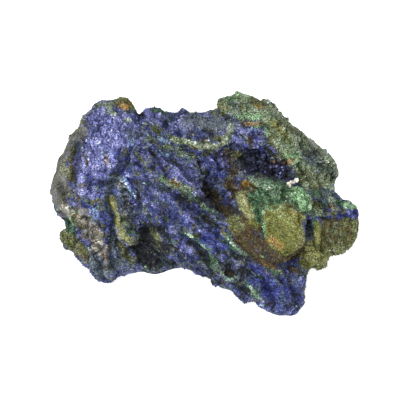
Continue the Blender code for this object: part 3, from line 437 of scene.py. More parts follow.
# Where the surface is rougher or calmer than elsewhere: change, half width, then x and y of each place.
ROUGH_STROKES = dict(
    flank=(-0.7, 7, 66, 144, 59, 160, 56, 180, 56, 200, 64, 212),
    block=(-0.7, 13, 274, 216, 286, 224, 280, 240, 293, 238),
    block_brown=(-0.7, 8, 240, 224, 252, 244, 268, 258), tongue=(-0.7, 8, 325, 228, 345, 235),
    lump=(-0.5, 7, 310, 252, 318, 258), crest=(-0.45, 9, 230, 104, 246, 100, 260, 108),
    slope=(-0.2, 8, 272, 126, 296, 152), brow=(0.2, 12, 96, 112, 108, 128, 104, 150),
    saddle=(-0.4, 12, 140, 180, 156, 190, 168, 204), right_lobe=(-0.3, 14, 262, 286, 284, 300, 298, 292),
    crown=(0.7, 7, 254, 186, 268, 191, 282, 195), groove=(0.5, 5, 120, 178, 126, 200, 128, 222),
    left_low=(0.5, 6, 86, 222, 96, 240, 100, 256),
)
ROUGHNESS_RANGE = (0.25, 1.8)
# Where the rock has broken flat: how flat, softness of the edge, then x and y of each corner, clockwise.
FLAT_FACES = dict(
    block=(0.9, 1.2, 264, 213, 271, 208, 286, 205, 300, 213, 302, 230, 302, 244, 284, 256, 273, 248, 264,
        237),
    block_brown=(0.8, 1.6, 244, 216, 257, 222, 261, 238, 272, 251, 282, 258, 274, 267, 262, 264, 245, 250,
        234, 239),
    tongue=(0.8, 1.6, 331, 221, 356, 219, 354, 238, 346, 246, 333, 250),
    lump=(0.6, 2, 306, 246, 320, 243, 328, 254, 318, 266, 306, 268),
)
FLAT_REACH = 1.2  # in millimetres, as far as a flat face may move the surface
FLAT_CORE = 0.9  # how far inside the face a point lies that its plane is fitted to
# Layers of relief: height or depth in mm, size in mm, and seed.
LUMPS = ((0.24, 4.2, 41), (0.08, 1.9, 42))
FACETS = ((0.26, 3.6, 71), (0.08, 1.8, 72))
DRUSE = ((0.08, 1.7, 43), (0.1, 0.8, 44))
CREASES = ((0.4, 4.0, 46), (0.22, 2.2, 47))
FLOW_WAVES = ((0.2, 1.6, 60), (0.13, 0.8, 62), (0.12, 0.45, 64))
CLEFTS = ((0.42, 3.2, 81), (0.22, 1.8, 83))  # long and thin, along the grain
PIT_DEPTH = 0.34
PIT_SIZE, PIT_SEED, PIT_EDGE = 2.1, 45, (0.3, 0.6)
CREASE_WIDTH = 0.06  # of the noise's own range
CLEFT_WIDTH = 0.065
GRAIN_MIDDLE = 0.5
CELL_SPREAD = 7.3  # sets neighbouring cells' slopes apart
FACET_SLOPE = 1.5
LOBE_STRETCH = 1.8
RIDGE_STRETCH = 3.5
RIDGE_FLOW = (1.0, -1.05)  # how the ridge's grain runs on the display face: right, up
LOBE_FLOW = (0.05, 1.0)
LOBE_EDGE = (128.0, 148.0)  # between these picture columns the lobe's grain gives way to the ridge's
TABLE_EDGE = (0.0, 0.8)  # in millimetres above the table, where the relief begins

FLECKS = {"olive": 0.3, "mint": 0.12, "brown": 0.3, "slate": 0.28}  # kinds and their shares
FLECK_SHARE = 0.6
FLECK_RARITY = 5
PORE_DARKNESS = 0.65  # of the darkest chance points
PORE_RARITY = 2
# Painted shade on the rock ground between the azurite crystals.
PAINTED_GAP_SHADE = 0.25  # of the rock between azurite crystals
SMOOTHNESS = {"grey": 0.65, "ochre": 0.3}  # how much less speckled the matrix is
# Painted shade and painted highlight from the relief: sunken places are painted darker and raised places
# lighter.
SHADE_LEAST, SHADE_GAIN, SHADE_HEIGHTS = 0.3, 1.04, (-0.8, 0.38)  # sunken places are darker
# Colour of the painted shade and glints: more saturated where the rock is darker, paler where it is brighter.
SHADOW_DEPTH = 0.35  # how much more saturated the rock is where it is darker
GLINT_PALENESS = 0.75  # and how much paler where it is brighter
DEPTH_RANGE = (0.3, 1.3)

# ---------------------------------------------------------------- noise and drawing

# A seed shifts the noise by this many waves, grains or facets.
WAVE_SHIFT = np.array((17.3, 5.1, 9.7))
GRAIN_SHIFT = np.array((3.3, 7.7, 1.9))
FACET_SHIFT = np.array((4.1, 8.3, 2.7))


def face_places(points):
    """Picture x, picture y and depth out of the display face, for points in millimetres."""
    away = points - FACE_MIDDLE
    x = PICTURE_MIDDLE + away @ RIGHT / PIXEL
    y = PICTURE_MIDDLE - away @ UP / PIXEL
    return x, y, away @ OUT


def waves(points, size, seed):
    """Smooth noise from -1 to 1, with waves of this size in millimetres."""
    places = points / size + seed * WAVE_SHIFT
    return np.array([noise.noise(place) for place in places.tolist()])


def grains(points, size, seed):
    """Rounded grains of this size: 0.5 at a grain's middle, falling to about -0.5 between grains."""
    places = points / size + seed * GRAIN_SHIFT
    return 1 - np.array([noise.voronoi(place)[0][0] for place in places.tolist()]) - GRAIN_MIDDLE


def facets(points, size, seed):
    """Flat facets, one to a cell of this size, each tipped its own way: about -1 to 1."""
    places = points / size + seed * FACET_SHIFT
    middles = np.array([noise.voronoi(place)[1][0] for place in places.tolist()])
    slopes = np.array([noise.cell_vector(place) for place in (middles * CELL_SPREAD).tolist()]) * 2 - 1
    return ((places - middles) * slopes).sum(1) * FACET_SLOPE


def streaks(points, flow, size, stretch, seed):
    """Smooth noise drawn out along a direction of the display face, by this factor."""
    along = flow[0] * RIGHT + flow[1] * UP
    along /= np.linalg.norm(along)
    drawn = points - np.outer(points @ along, along) * (1 - 1 / stretch)
    return waves(drawn, size, seed)


def flow_grain(points, size, seed):
    """Streaks that run down the lobe on the left and along the ridge on the right: about -1 to 1."""
    lobe = 1 - smoothstep(*LOBE_EDGE, face_places(points)[0])
    down = streaks(points, LOBE_FLOW, size, LOBE_STRETCH, seed)
    along = streaks(points, RIDGE_FLOW, size, RIDGE_STRETCH, seed + 1)
    return lobe * down + (1 - lobe) * along


def creased(kind, width):
    """This kind of noise as thin cuts where it is near 0: -1 in a cut, and 0 elsewhere."""
    return lambda points, size, seed: -np.exp(-((kind(points, size, seed) / width) ** 2))


def layered(kind, points, layers):
    return sum(height * kind(points, size, seed) for height, size, seed in layers)


def wandered(points, layers):
    """The points' picture places, moved about by noise."""
    x, y, _ = face_places(points)
    for reach, size, x_seed, y_seed in layers:
        x = x + reach * waves(points, size, x_seed)
        y = y + reach * waves(points, size, y_seed)
    return x, y


def smoothstep(low, high, value):
    """0 at low, 1 at high, which may be the smaller number."""
    share = np.clip((value - low) / (high - low), 0, 1)
    return share * share * (3 - 2 * share)


def stroke_strength(x, y, half_width, path):
    """1 on the stroke's line, falling off smoothly to both sides of it."""
    nearest = np.full(len(x), np.inf)
    for x0, y0, x1, y1 in zip(path[::2], path[1::2], path[2::2], path[3::2]):
        along_x, along_y = x1 - x0, y1 - y0
        length = along_x**2 + along_y**2
        share = np.clip(((x - x0) * along_x + (y - y0) * along_y) / length, 0, 1)
        gap = (x - x0 - share * along_x) ** 2 + (y - y0 - share * along_y) ** 2
        nearest = np.minimum(nearest, gap)
    return np.exp(-nearest / (STROKE_FALL * half_width) ** 2)


def field_strength(x, y, softness, corners):
    """1 inside a convex outline, falling off smoothly across its edge."""
    outside = np.full(len(x), -np.inf)
    path = corners + corners[:2]
    for x0, y0, x1, y1 in zip(path[::2], path[1::2], path[2::2], path[3::2]):
        length = math.hypot(x1 - x0, y1 - y0)
        outside = np.maximum(outside, ((x - x0) * (y1 - y0) - (y - y0) * (x1 - x0)) / length)
    return smoothstep(softness, -softness, outside)


def stroked(x, y, strokes):
    """What all these strokes add up to."""
    return sum(change * stroke_strength(x, y, width, path) for change, width, *path in strokes.values())


# ---------------------------------------------------------------- meshes


def read(items, field, kind=float, width=3):
    """What each item holds in this field, as rows of this width."""
    found = np.empty(len(items) * width, kind)
    items.foreach_get(field, found)
    return found.reshape(-1, width)


def mesh_points(mesh):
    return read(mesh.vertices, "co") / MM


def mesh_normals(mesh):
    return read(mesh.vertex_normals, "vector", np.float32).astype(float)


def set_points(mesh, points):
    mesh.vertices.foreach_set("co", (points * MM).ravel())
    mesh.update()


def add_colour(mesh, name, values):
    attribute = mesh.color_attributes.new(name, "FLOAT_COLOR", "POINT")
    attribute.data.foreach_set("color", np.column_stack((values, np.ones(len(values)))).ravel())


def add_number(mesh, name, values):
    mesh.attributes.new(name, "FLOAT", "POINT").data.foreach_set("value", values)


def link(name, data):
    obj = bpy.data.objects.new(name, data)
    bpy.context.scene.collection.objects.link(obj)
    return obj


def bake_modifiers(obj):
    depsgraph = bpy.context.evaluated_depsgraph_get()
    mesh = bpy.data.meshes.new_from_object(obj.evaluated_get(depsgraph))
    obj.modifiers.clear()
    obj.data = mesh


def remeshed(name, mesh, voxel, rounds):
    """A new object with this mesh as one even skin, softened in some rounds."""
    obj = link(name, mesh)
    even = obj.modifiers.new("even", "REMESH")
    even.mode = "VOXEL"
    even.voxel_size = voxel * MM
    soften = obj.modifiers.new("soften", "SMOOTH")
    soften.factor = SOFTENING
    soften.iterations = rounds
    bake_modifiers(obj)
    return obj


# ---------------------------------------------------------------- the rock's surface


def front_share(points, normals):
    """1 where the display face's camera side sees the rock, 0 behind and underneath."""
    x, y, depth = face_places(points)
    cells = PICTURE // LAYER_CELL
    column, row = (np.clip(place / LAYER_CELL, 0, cells - 1).astype(int) for place in (x, y))
    nearest = np.full((cells, cells), -np.inf)
    np.maximum.at(nearest, (column, row), depth)
    layer = smoothstep(*FRONT_LAYER, depth - nearest[column, row])
    return layer * smoothstep(*FRONT_FACING, normals @ OUT)


def raise_bid(bids, name, values):
    column = NAMES.index(name)
    bids[:, column] = np.maximum(bids[:, column], values)


def mineral_weights(points, normals):
    """For each point, each mineral's share, which add up to 1."""
    x, y = wandered(points, EDGE_WANDER)
    front = front_share(points, normals)
    bids = np.zeros((len(points), len(NAMES)))
    for table, shape in ((STROKES, stroke_strength), (FIELDS, field_strength)):
        for name, drawings in table.items():
            for strength, reach, *places in drawings.values():
                raise_bid(bids, name, strength * shape(x, y, reach, places))
    bids *= front[:, None]
    drawn = smoothstep(*DRAWN, bids.max(1))
    for name, share in far_side(points, normals).items():
        raise_bid(bids, name, share * (1 - front))
    for name, share in dusting(points).items():
        raise_bid(bids, name, share * front * (1 - DUST_GIVES_WAY * drawn))
    covered = smoothstep(*COVERS, bids.max(1))
    bids[:, NAMES.index("azurite")] = AZURITE_BASE * (1 - AZURITE_COVERED * covered)
    for column in range(len(NAMES)):
        patch = layered(waves, points, [(reach, size, seed + column) for reach, size, seed in BID_NOISE])
        bids[:, column] += patch * smoothstep(*FRAYS, bids[:, column])
    weights = np.clip(bids, LEAST_BID, None) ** BID_SHARPNESS
    return weights / weights.sum(1, keepdims=True)


def dusting(points):
    """Thin patches of other minerals that lie all over the azurite."""
    dust = {}
    for name, size, seed, low, strength in DUSTS:
        share = strength * smoothstep(low, low + DUST_EDGE, waves(points, size, seed))
        dust[name] = np.maximum(dust.get(name, 0), share)
    return dust


def far_side(points, normals):
    """The minerals where the display face doesn't show: patches with no plan, matrix below."""
    bent = points + layered(waves, points, [FAR_BEND])[:, None]
    below = smoothstep(*DOWNWARD, -normals[:, 2])
    shares = {}
    for name, (size, seed, low, high, strength) in FAR_PATCHES.items():
        patch = smoothstep(low, high, waves(bent, size, seed))
        shares[name] = np.maximum(patch, UNDERNEATH.get(name, 0) * below) * strength
    return shares


def share_of(weights, *names):
    return sum(weights[:, NAMES.index(name)] for name in names)


def flattening(points, front):
    """How far each point of a flat face lies behind its plane, in millimetres out of the display face."""
    x, y, depth = face_places(points)
    terms = np.column_stack((x, y, np.ones(len(x))))
    moves = np.zeros(len(points))
    for share, softness, *corners in FLAT_FACES.values():
        inside = front * field_strength(x, y, softness, corners)
        within = inside > FLAT_CORE
        plane = np.linalg.lstsq(terms[within], depth[within], rcond=None)[0]
        moves += share * inside * np.clip(terms @ plane - depth, -FLAT_REACH, FLAT_REACH)
    return moves


def relief(points, front):
    """How far the fine relief stands out of the smooth surface, in millimetres."""
    x, y = wandered(points, RELIEF_WANDER)
    drawn = stroked(x, y, RELIEF_STROKES)
    rough = np.clip(1 + stroked(x, y, ROUGH_STROKES), *ROUGHNESS_RANGE)
    lumps = layered(waves, points, LUMPS)
    broken = layered(facets, points, FACETS)
    drusy = layered(grains, points, DRUSE)
    creases = layered(creased(waves, CREASE_WIDTH), points, CREASES)
    grain = layered(flow_grain, points, FLOW_WAVES)
    clefts = layered(creased(flow_grain, CLEFT_WIDTH), points, CLEFTS)
    pits = -PIT_DEPTH * smoothstep(*PIT_EDGE, waves(points, PIT_SIZE, PIT_SEED))
    return lumps + rough * (broken + drusy + creases + pits + front * (grain + clefts)) + front * drawn


def deepened(colours, brightness):
    """The colours as painted shade and glint: more saturated where they are dark and paler where they are
    bright.
    """
    change = np.where(brightness < 1, SHADOW_DEPTH, GLINT_PALENESS)
    depth = np.clip(1 + change * (1 - brightness), *DEPTH_RANGE)[:, None]
    middle = colours.mean(1, keepdims=True)
    return np.maximum(middle + (colours - middle) * depth, 0)


def flecked(colours, smooth):
    """The colours with a pore, or a fleck of some other mineral, at chance points."""
    chance = np.random.default_rng(FLECK_SEED)
    names, shares = zip(*FLECKS.items())
    other = COLOURS[[NAMES.index(name) for name in names]][chance.choice(len(names), len(colours), p=shares)]
    share = FLECK_SHARE * chance.uniform(0, 1, len(colours)) ** FLECK_RARITY
    pores = 1 - PORE_DARKNESS * (1 - smooth) * chance.uniform(0, 1, len(colours)) ** PORE_RARITY
    return (colours + (other - colours) * share[:, None]) * pores[:, None]


def build_rock():
    """The rock as a fine mesh with relief and colours that carry painted shade, and its points, minerals and
    painted shade for the crystals.
    """
    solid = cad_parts["azurite_rock"].data.copy()
    obj = remeshed("rock_surface", solid, SURFACE_VOXEL, SURFACE_SMOOTHING)
    points, normals = mesh_points(obj.data), mesh_normals(obj.data)
    front = front_share(points, normals)
    height = relief(points, front)
    above_table = smoothstep(*TABLE_EDGE, points[:, 2])[:, None]
    moved = points + above_table * (normals * height[:, None] + OUT * flattening(points, front)[:, None])
    moved[:, 2] = np.maximum(moved[:, 2], 0)
    set_points(obj.data, moved)
    add_number(obj.data, "height", height)
    reduce = obj.modifiers.new("reduce", "DECIMATE")
    reduce.ratio = SURFACE_TRIANGLES / (2 * len(obj.data.polygons))
    bake_modifiers(obj)
    moved, normals = mesh_points(obj.data), mesh_normals(obj.data)
    height = read(obj.data.attributes["height"].data, "value", width=1)[:, 0]
    obj.data.attributes.remove(obj.data.attributes["height"])
    weights = mineral_weights(moved, normals)
    # Painted shade in sunken relief and painted highlight on raised relief, multiplied into the rock's
    # colours and handed on to its crystals.
    shade = SHADE_LEAST + SHADE_GAIN * smoothstep(*SHADE_HEIGHTS, height)
    azurite = share_of(weights, "azurite", "violet", "royal", "sky")
    ground = shade * (1 - PAINTED_GAP_SHADE * azurite)
    smooth = sum(share * share_of(weights, name) for name, share in SMOOTHNESS.items())
    colours = deepened(flecked(weights @ COLOURS, smooth), ground)
    add_colour(obj.data, "mineral", colours * ground[:, None])
    add_number(obj.data, "smooth", smooth)
    add_number(obj.data, "gloss", azurite)
    obj.data.shade_flat()
    return obj, moved, weights, shade


# ---------------------------------------------------------------- crystals and grains

# A crystal's corners and faces: a blade with a chisel top, and a grain like a squeezed octahedron.
BLADE_CORNERS = np.array((
    (-1, -0.5, -0.7), (1, -0.5, -0.7), (1, 0.5, -0.7), (-1, 0.5, -0.7),
    (-0.9, -0.45, 0.7), (0.9, -0.45, 0.7), (0.9, 0.45, 0.7), (-0.9, 0.45, 0.7),
    (-0.45, 0, 1.15), (0.45, 0, 1.15),
))
BLADE_FACES = (
    (3, 2, 1, 0), (0, 1, 5, 4), (1, 2, 6, 5), (2, 3, 7, 6), (3, 0, 4, 7),
    (4, 5, 9, 8), (6, 7, 8, 9), (5, 6, 9), (7, 4, 8),
)
GRAIN_CORNERS = np.array((
    (1, 0, 0), (0, 1, 0.15), (-1, 0, 0), (0, -1, -0.15), (0.2, 0.1, 1), (-0.1, -0.2, -1),
))
GRAIN_FACES = (
    (0, 1, 4), (1, 2, 4), (2, 3, 4), (3, 0, 4), (1, 0, 5), (2, 1, 5), (3, 2, 5), (0, 3, 5),
)
SHAPES = {
    "blade": (BLADE_CORNERS, BLADE_FACES),
    "grain": (GRAIN_CORNERS, GRAIN_FACES),
    "splinter": (GRAIN_CORNERS * (0.6, 0.35, 1.5), GRAIN_FACES),
}
# Each crop: the minerals that it grows on, its material, shape, number, size range in mm, tilt and
# unevenness of colour.
AZURITES = ("azurite", "violet", "royal")
CROPS = {
    "azurite_druse_a": ((*AZURITES, "sky"), "azurite_crystal", "blade", 9000, (0.12, 0.28), 0.8, 0.65),
    "azurite_druse_b": ((*AZURITES, "slate"), "azurite_crystal", "splinter", 19000, (0.12, 0.28), 0.9, 0.65),
    "azurite_druse_c": ((*AZURITES, "slate"), "azurite_crystal", "grain", 19000, (0.10, 0.22), 1.0, 0.65),
    "malachite_grains": (
        ("malachite", "mint", "olive", "sage"), "malachite_grain", "grain", 15000, (0.11, 0.26), 1.0, 1.0,
    ),
    "limonite_grains": (
        ("ochre", "straw", "orange", "brown", "pale", "dark"), "limonite_grain",
        "grain", 11000, (0.08, 0.20), 1.0, 0.8,
    ),
}
CRYSTAL_PROPORTIONS = ((0.7, 1.2), (0.7, 1.2), (0.8, 1.5))
SIZE_RARITY = 2  # how rare the larger crystals are
OWN_GROUND = (0.5, 0.8)  # the share of its minerals between which a crop begins to grow
AXIS_LEAN = 0.7
TINT_MIDDLE = -0.1  # of the logarithm of a crystal's brightness
TINT_SPREAD = 0.42
TINT_GRAIN = ((1.3, 0.9, 85), (1.3, 0.5, 87))  # how far that follows the grain: strength, size in mm, seed
TINT_MOST = 0.9
CRYSTAL_SINK = 0.3  # of its own size
LOWEST_CRYSTAL = 0.9  # nothing grows on what the rock rests on

VUG_CRYSTALS = 3400
VUG_CRYSTAL_SIZE = (0.08, 0.42)
VUG_SIZE_RARITY = 3
VUG_PROPORTIONS = (0.7, 1.3)
VUG_FACING = -0.35  # crystals stand on the faces of the crust that look out at least this much
VUG_TILT = 1.0
# Most vug crystals are darkened as painted shade in the hollow; the brightest few are painted glints.
VUG_SHADES = (0.3, 0.8, 2.8)  # how bright a crystal is, and how common each brightness is
VUG_SHADE_SHARES = (0.66, 0.26, 0.08)
VUG_PATCHES = (1.8, 1.3, 95)
# VUG_BASE: the crust under the blades, near black: dark azurite with painted shade deep in the hollow.
VUG_BASE = (0.006, 0.007, 0.022)
VUG_BLUE = (0.040, 0.045, 0.098)

# The small cream-white chip: lumps of (picture x, picture y, radius in mm).
CHIP_LUMPS = (
    (289.0, 184.4, 0.62), (291.6, 182.6, 0.5), (294.4, 181.8, 0.42), (297.0, 180.2, 0.6),
    (289.6, 186.2, 0.42),
)
CHIP_VOXEL = 0.12
CHIP_SMOOTHING = 2
CHIP_SINK = 0.1
CHIP_SUBDIVISIONS = 3
CHIP_FOOT = 2  # how far around a lump, in picture units, the rock under it is felt for
CHIP_RELIEF = (0.12, 0.6, 70)


def surface_triangles(mesh, points):
    """The mesh's triangles: their corners, areas and normals."""
    mesh.calc_loop_triangles()
    corners = read(mesh.loop_triangles, "vertices", int)
    a, b, c = points[corners[:, 0]], points[corners[:, 1]], points[corners[:, 2]]
    cross = np.cross(b - a, c - a)
    area = np.linalg.norm(cross, axis=1) / 2
    return corners, area, cross / np.maximum(area[:, None] * 2, LEAST_AREA)


def chance_places(chance, points, corners, wanted, count):
    """Chance triangles, each as likely as it is wanted, and a chance place on each."""
    picked = chance.choice(len(corners), count, p=wanted / wanted.sum())
    share = chance.dirichlet((1, 1, 1), count)
    return picked, np.einsum("nk,nkd->nd", share, points[corners[picked]])


def chance_sizes(chance, low, high, rarity, count):
    return low + (high - low) * chance.uniform(0, 1, count) ** rarity


def turned_frames(normals, chance, tilt):
    """A right-handed frame for each crystal: its length near the normal, its spin by chance."""
    axis = normals + tilt * chance.uniform(-AXIS_LEAN, AXIS_LEAN, normals.shape)
    axis /= np.linalg.norm(axis, axis=1, keepdims=True)
    side = np.cross(axis, chance.normal(size=normals.shape))
    side /= np.linalg.norm(side, axis=1, keepdims=True)
    return np.stack((side, np.cross(axis, side), axis), axis=1)


def joined_crystals(name, shape, centres, frames, sizes):
    """One mesh of many crystals, each with its own centre, frame and sizes."""
    corners, faces = SHAPES[shape]
    scaled = corners[None] * sizes[:, None, :]
    points = centres[:, None, :] + np.einsum("nkj,njd->nkd", scaled, frames)
    count = len(centres)
    starts = np.cumsum([0] + [len(face) for face in faces][:-1])
    template = np.concatenate([np.array(face) for face in faces])
    numbers = np.arange(count)[:, None]
    mesh = bpy.data.meshes.new(name)
    mesh.vertices.add(count * len(corners))
    mesh.vertices.foreach_set("co", (points * MM).ravel())
    mesh.loops.add(count * len(template))
    mesh.loops.foreach_set("vertex_index", (template[None] + numbers * len(corners)).ravel())
    mesh.polygons.add(count * len(faces))
    mesh.polygons.foreach_set("loop_start", (starts[None] + numbers * len(template)).ravel())
    mesh.update(calc_edges=True)
    mesh.validate()
    return mesh


def paint_crystals(mesh, shape, colours):
    add_colour(mesh, "mineral", np.repeat(colours, len(SHAPES[shape][0]), axis=0))


def grow_crop(name, rock, points, weights, shade, number):
    minerals, _, shape, count, size_range, tilt, unevenness = CROPS[name]
    chance = np.random.default_rng(SEED + number)
    corners, area, normals = surface_triangles(rock.data, points)
    columns = [NAMES.index(mineral) for mineral in minerals]
    own = smoothstep(*OWN_GROUND, weights[:, columns].sum(1)) * (points[:, 2] > LOWEST_CRYSTAL)
    picked, centres = chance_places(chance, points, corners, own[corners].mean(1) * area, count)
    frames = turned_frames(normals[picked], chance, tilt)
    size = chance_sizes(chance, *size_range, SIZE_RARITY, count)[:, None]
    sizes = size * np.column_stack([chance.uniform(*span, count) for span in CRYSTAL_PROPORTIONS])
    nearest = corners[picked, 0]
    own = weights[nearest][:, columns]
    own = own / own.sum(1, keepdims=True)
    tint = chance.normal(0, TINT_SPREAD, count)
    tint += layered(flow_grain, centres, TINT_GRAIN)
    # Each crystal takes the painted shade of the rock under it, and deepened() paints its brighter ones paler
    # as glints.
    tint = np.exp(unevenness * np.minimum(tint, TINT_MOST) + TINT_MIDDLE) * shade[nearest]
    mesh = joined_crystals(name, shape, centres - CRYSTAL_SINK * size * normals[picked], frames, sizes)
    paint_crystals(mesh, shape, deepened(own @ COLOURS[columns], tint) * tint[:, None])
    return link(name, mesh)


def build_vug():
    """The hollow's crust: dark blades, most darkened as painted shade and a few brightened as painted glints,
    that stand all over the solid crust and hide its edge.
    """
    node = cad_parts["vug_crystals"]
    points = mesh_points(node.data)
    chance = np.random.default_rng(VUG_SEED)
    corners, area, normals = surface_triangles(node.data, points)
    wanted = area * (normals @ OUT > VUG_FACING)
    picked, centres = chance_places(chance, points, corners, wanted, VUG_CRYSTALS)
    size = chance_sizes(chance, *VUG_CRYSTAL_SIZE, VUG_SIZE_RARITY, VUG_CRYSTALS)
    sizes = size[:, None] * chance.uniform(*VUG_PROPORTIONS, (VUG_CRYSTALS, 3))
    frames = turned_frames(normals[picked], chance, VUG_TILT)
    mesh = joined_crystals("vug_lining", "blade", centres, frames, sizes)
    colours = (mineral_weights(centres, normals[picked]) @ COLOURS + VUG_BLUE) / 2
    colours *= chance.choice(VUG_SHADES, (VUG_CRYSTALS, 1), p=VUG_SHADE_SHARES)
    colours *= np.exp(layered(waves, centres, [VUG_PATCHES]))[:, None]
    paint_crystals(mesh, "blade", colours)
    base = node.data.copy()
    add_colour(base, "mineral", np.tile(VUG_BASE, (len(base.vertices), 1)))
    joined = bmesh.new()
    joined.from_mesh(mesh)
    joined.from_mesh(base)
    joined.to_mesh(mesh)
    joined.free()
    return link("vug_lining", mesh)


def build_chip(rock_points):
    rock_x, rock_y, rock_depth = face_places(rock_points)
    lumps = bmesh.new()
    for x, y, radius in CHIP_LUMPS:
        near = (rock_x - x) ** 2 + (rock_y - y) ** 2 < CHIP_FOOT**2
        across = RIGHT * (x - PICTURE_MIDDLE) * PIXEL
        down = UP * (y - PICTURE_MIDDLE) * PIXEL
        centre = FACE_MIDDLE + across - down + OUT * (rock_depth[near].max() - CHIP_SINK)
        place = Matrix.Translation(centre * MM)
        bmesh.ops.create_icosphere(lumps, subdivisions=CHIP_SUBDIVISIONS, radius=radius * MM, matrix=place)
    mesh = bpy.data.meshes.new("white_chip")
    lumps.to_mesh(mesh)
    lumps.free()
    obj = remeshed("white_chip", mesh, CHIP_VOXEL, CHIP_SMOOTHING)
    points = mesh_points(obj.data)
    height = layered(waves, points, [CHIP_RELIEF])
    set_points(obj.data, points + mesh_normals(obj.data) * height[:, None])
    add_colour(obj.data, "mineral", np.tile(MINERALS["pale"], (len(points), 1)))
    return obj


# ---------------------------------------------------------------- materials

ROCK_SHINE = 0.22
CRYSTAL_SHINE = 0.28
ROCK_ROUGHNESS = (0.85, 0.5)  # of plain rock, and of azurite
# Speckles: scale and detail of the noise, then how noise from low to high turns into brightness.
ROCK_SPECKLE = (3600, 4.0, 0.39, 0.61, 0.12, 1.95)
CRYSTAL_SPECKLE = (3.0, 0.38, 0.62, 0.35, 1.75)
ROCK_GRIT = (4200, 5.0)
GRIT_HEIGHT, GRIT_STRENGTH = 0.25, 0.8
CRYSTAL_MATERIALS = {  # roughness, and scale of the speckles
    "azurite_crystal": (0.38, 3600),
    "malachite_grain": (0.6, 3600),
    "limonite_grain": (0.85, 3600),
    "vug_azurite": (0.4, 1200),
}


def new_material(name):
    material = bpy.data.materials.new(name)
    material.use_nodes = True
    tree = material.node_tree
    return material, tree, tree.nodes["Principled BSDF"]


def set_inputs(tree, node, **inputs):
    """Sets each input, or links it where a socket is given. An underscore stands for a space."""
    for name, value in inputs.items():
        socket = node.inputs[name.replace("_", " ")]
        if isinstance(value, bpy.types.NodeSocket):
            tree.links.new(value, socket)
        else:
            socket.default_value = value


def attribute(tree, name, output):
    node = tree.nodes.new("ShaderNodeAttribute")
    node.attribute_name = name
    return node.outputs[output]


def grainy(tree, scale, detail):
    place = tree.nodes.new("ShaderNodeTexCoord").outputs["Object"]
    node = tree.nodes.new("ShaderNodeTexNoise")
    set_inputs(tree, node, Scale=scale, Detail=detail, Vector=place)
    return node.outputs["Fac"]


def ramp(tree, source, low, high, bottom, top):
    node = tree.nodes.new("ShaderNodeMapRange")
    set_inputs(tree, node, Value=source, From_Min=low, From_Max=high, To_Min=bottom, To_Max=top)
    return node.outputs["Result"]


def speckled(tree, scale, detail, *brightness):
    return ramp(tree, grainy(tree, scale, detail), *brightness)


def evened(tree, factor, share):
    """The factor, brought nearer to 1 by this share."""
    node = tree.nodes.new("ShaderNodeMix")
    set_inputs(tree, node, Factor=share, A=factor, B=1)
    return node.outputs["Result"]


def mineral_colour(tree, factor):
    """The colour in the mineral attribute, which on the rock and its crystals holds painted shade and glints,
    made brighter or darker by this factor.
    """
    node = tree.nodes.new("ShaderNodeVectorMath")
    node.operation = "SCALE"
    set_inputs(tree, node, Vector=attribute(tree, "mineral", "Color"), Scale=factor)
    return node.outputs["Vector"]


def rock_material():
    material, tree, shader = new_material("mineral_rock")
    shade = evened(tree, speckled(tree, *ROCK_SPECKLE), attribute(tree, "smooth", "Fac"))
    roughness = ramp(tree, attribute(tree, "gloss", "Fac"), 0, 1, *ROCK_ROUGHNESS)
    bump = tree.nodes.new("ShaderNodeBump")
    grit = grainy(tree, *ROCK_GRIT)
    set_inputs(tree, bump, Distance=GRIT_HEIGHT * MM, Strength=GRIT_STRENGTH, Height=grit)
    set_inputs(tree, shader, Base_Color=mineral_colour(tree, shade), Roughness=roughness)
    set_inputs(tree, shader, Normal=bump.outputs["Normal"], Specular_IOR_Level=ROCK_SHINE)
    return material


def crystal_material(name, roughness, speckle_scale):
    material, tree, shader = new_material(name)
    shade = speckled(tree, speckle_scale, *CRYSTAL_SPECKLE)
    set_inputs(tree, shader, Base_Color=mineral_colour(tree, shade), Roughness=roughness)
    set_inputs(tree, shader, Specular_IOR_Level=CRYSTAL_SHINE)
    return material


# ---------------------------------------------------------------- stage

CAMERA_AWAY = 2000.0
SENSOR = 36.0
CLIP = (0.01, 20.0)
WHITE = (1, 1, 1, 1)
FLOOR_SIZE = 6.0
FLOOR_COLOUR = (0.86, 0.86, 0.86, 1)
FLOOR_ROUGHNESS = 0.9
FLOOR_GLOW = 0.75  # a light table: it softens the shadow
LAMPS = {  # place, size and power; each points at the middle
    "overhead": ((-0.35, -0.85, 0.9), 0.8, 20.0),
    "fill": ((0.8, -0.7, 0.6), 1.0, 4.0),
}
WORLD_LIGHT = 0.41


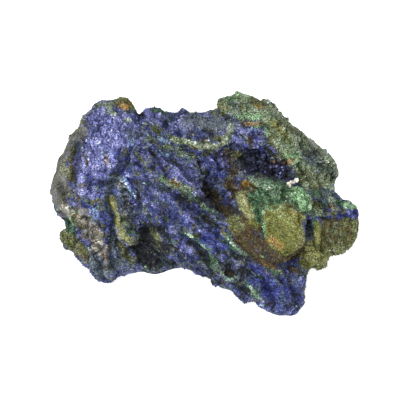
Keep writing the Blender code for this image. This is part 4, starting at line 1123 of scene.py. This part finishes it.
def set_camera():
    camera = link("camera", bpy.data.cameras.new("camera"))
    off_middle = (PICTURE / 2 - PICTURE_MIDDLE) * PIXEL
    target = FACE_MIDDLE + RIGHT * off_middle - UP * off_middle
    camera.location = Vector((target + OUT * CAMERA_AWAY) * MM)
    camera.rotation_euler = Vector(-OUT).to_track_quat("-Z", "Y").to_euler()
    camera.data.sensor_width = SENSOR
    camera.data.lens = SENSOR * CAMERA_AWAY / (PICTURE * PIXEL)
    camera.data.clip_start, camera.data.clip_end = CLIP
    bpy.context.scene.camera = camera


def set_lights():
    for name, (place, size, power) in LAMPS.items():
        lamp = bpy.data.lights.new(name, "AREA")
        lamp.shape = "DISK"
        lamp.size = size
        lamp.energy = power
        obj = link(name, lamp)
        obj.location = place
        obj.rotation_euler = (-Vector(place)).to_track_quat("-Z", "Y").to_euler()
    world = bpy.data.worlds.new("studio")
    world.use_nodes = True
    tree = world.node_tree
    set_inputs(tree, tree.nodes["Background"], Color=WHITE, Strength=WORLD_LIGHT)
    bpy.context.scene.world = world
    bpy.context.scene.view_settings.view_transform = "Standard"


def set_floor():
    half = FLOOR_SIZE / 2
    corners = [(-half, -half, 0), (half, -half, 0), (half, half, 0), (-half, half, 0)]
    mesh = bpy.data.meshes.new("floor")
    mesh.from_pydata(corners, [], [(0, 1, 2, 3)])
    floor = link("floor", mesh)
    material, tree, shader = new_material("floor")
    set_inputs(tree, shader, Base_Color=FLOOR_COLOUR, Roughness=FLOOR_ROUGHNESS)
    set_inputs(tree, shader, Emission_Color=WHITE, Emission_Strength=FLOOR_GLOW)
    mesh.materials.append(material)


# ---------------------------------------------------------------- the specimen


def finish_piece(obj, material, slot, *nodes):
    obj.data.materials.clear()
    obj.data.materials.append(material)
    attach(obj, "root")
    if nodes:
        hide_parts(*nodes)


def build_specimen():
    rock, points, weights, shade = build_rock()
    finish_piece(rock, rock_material(), "azurite_rock", "azurite_rock")
    materials = {name: crystal_material(name, *looks) for name, looks in CRYSTAL_MATERIALS.items()}
    for number, (name, crop) in enumerate(CROPS.items()):
        piece = grow_crop(name, rock, points, weights, shade, number)
        slot = "azurite_crystal" if crop[1] == "azurite_crystal" else "azurite_rock"
        finish_piece(piece, materials[crop[1]], slot)
    finish_piece(build_vug(), materials["vug_azurite"], "azurite_crystal", "vug_crystals")
    finish_piece(build_chip(points), materials["limonite_grain"], "azurite_rock")


set_camera()
set_lights()
set_floor()
build_specimen()
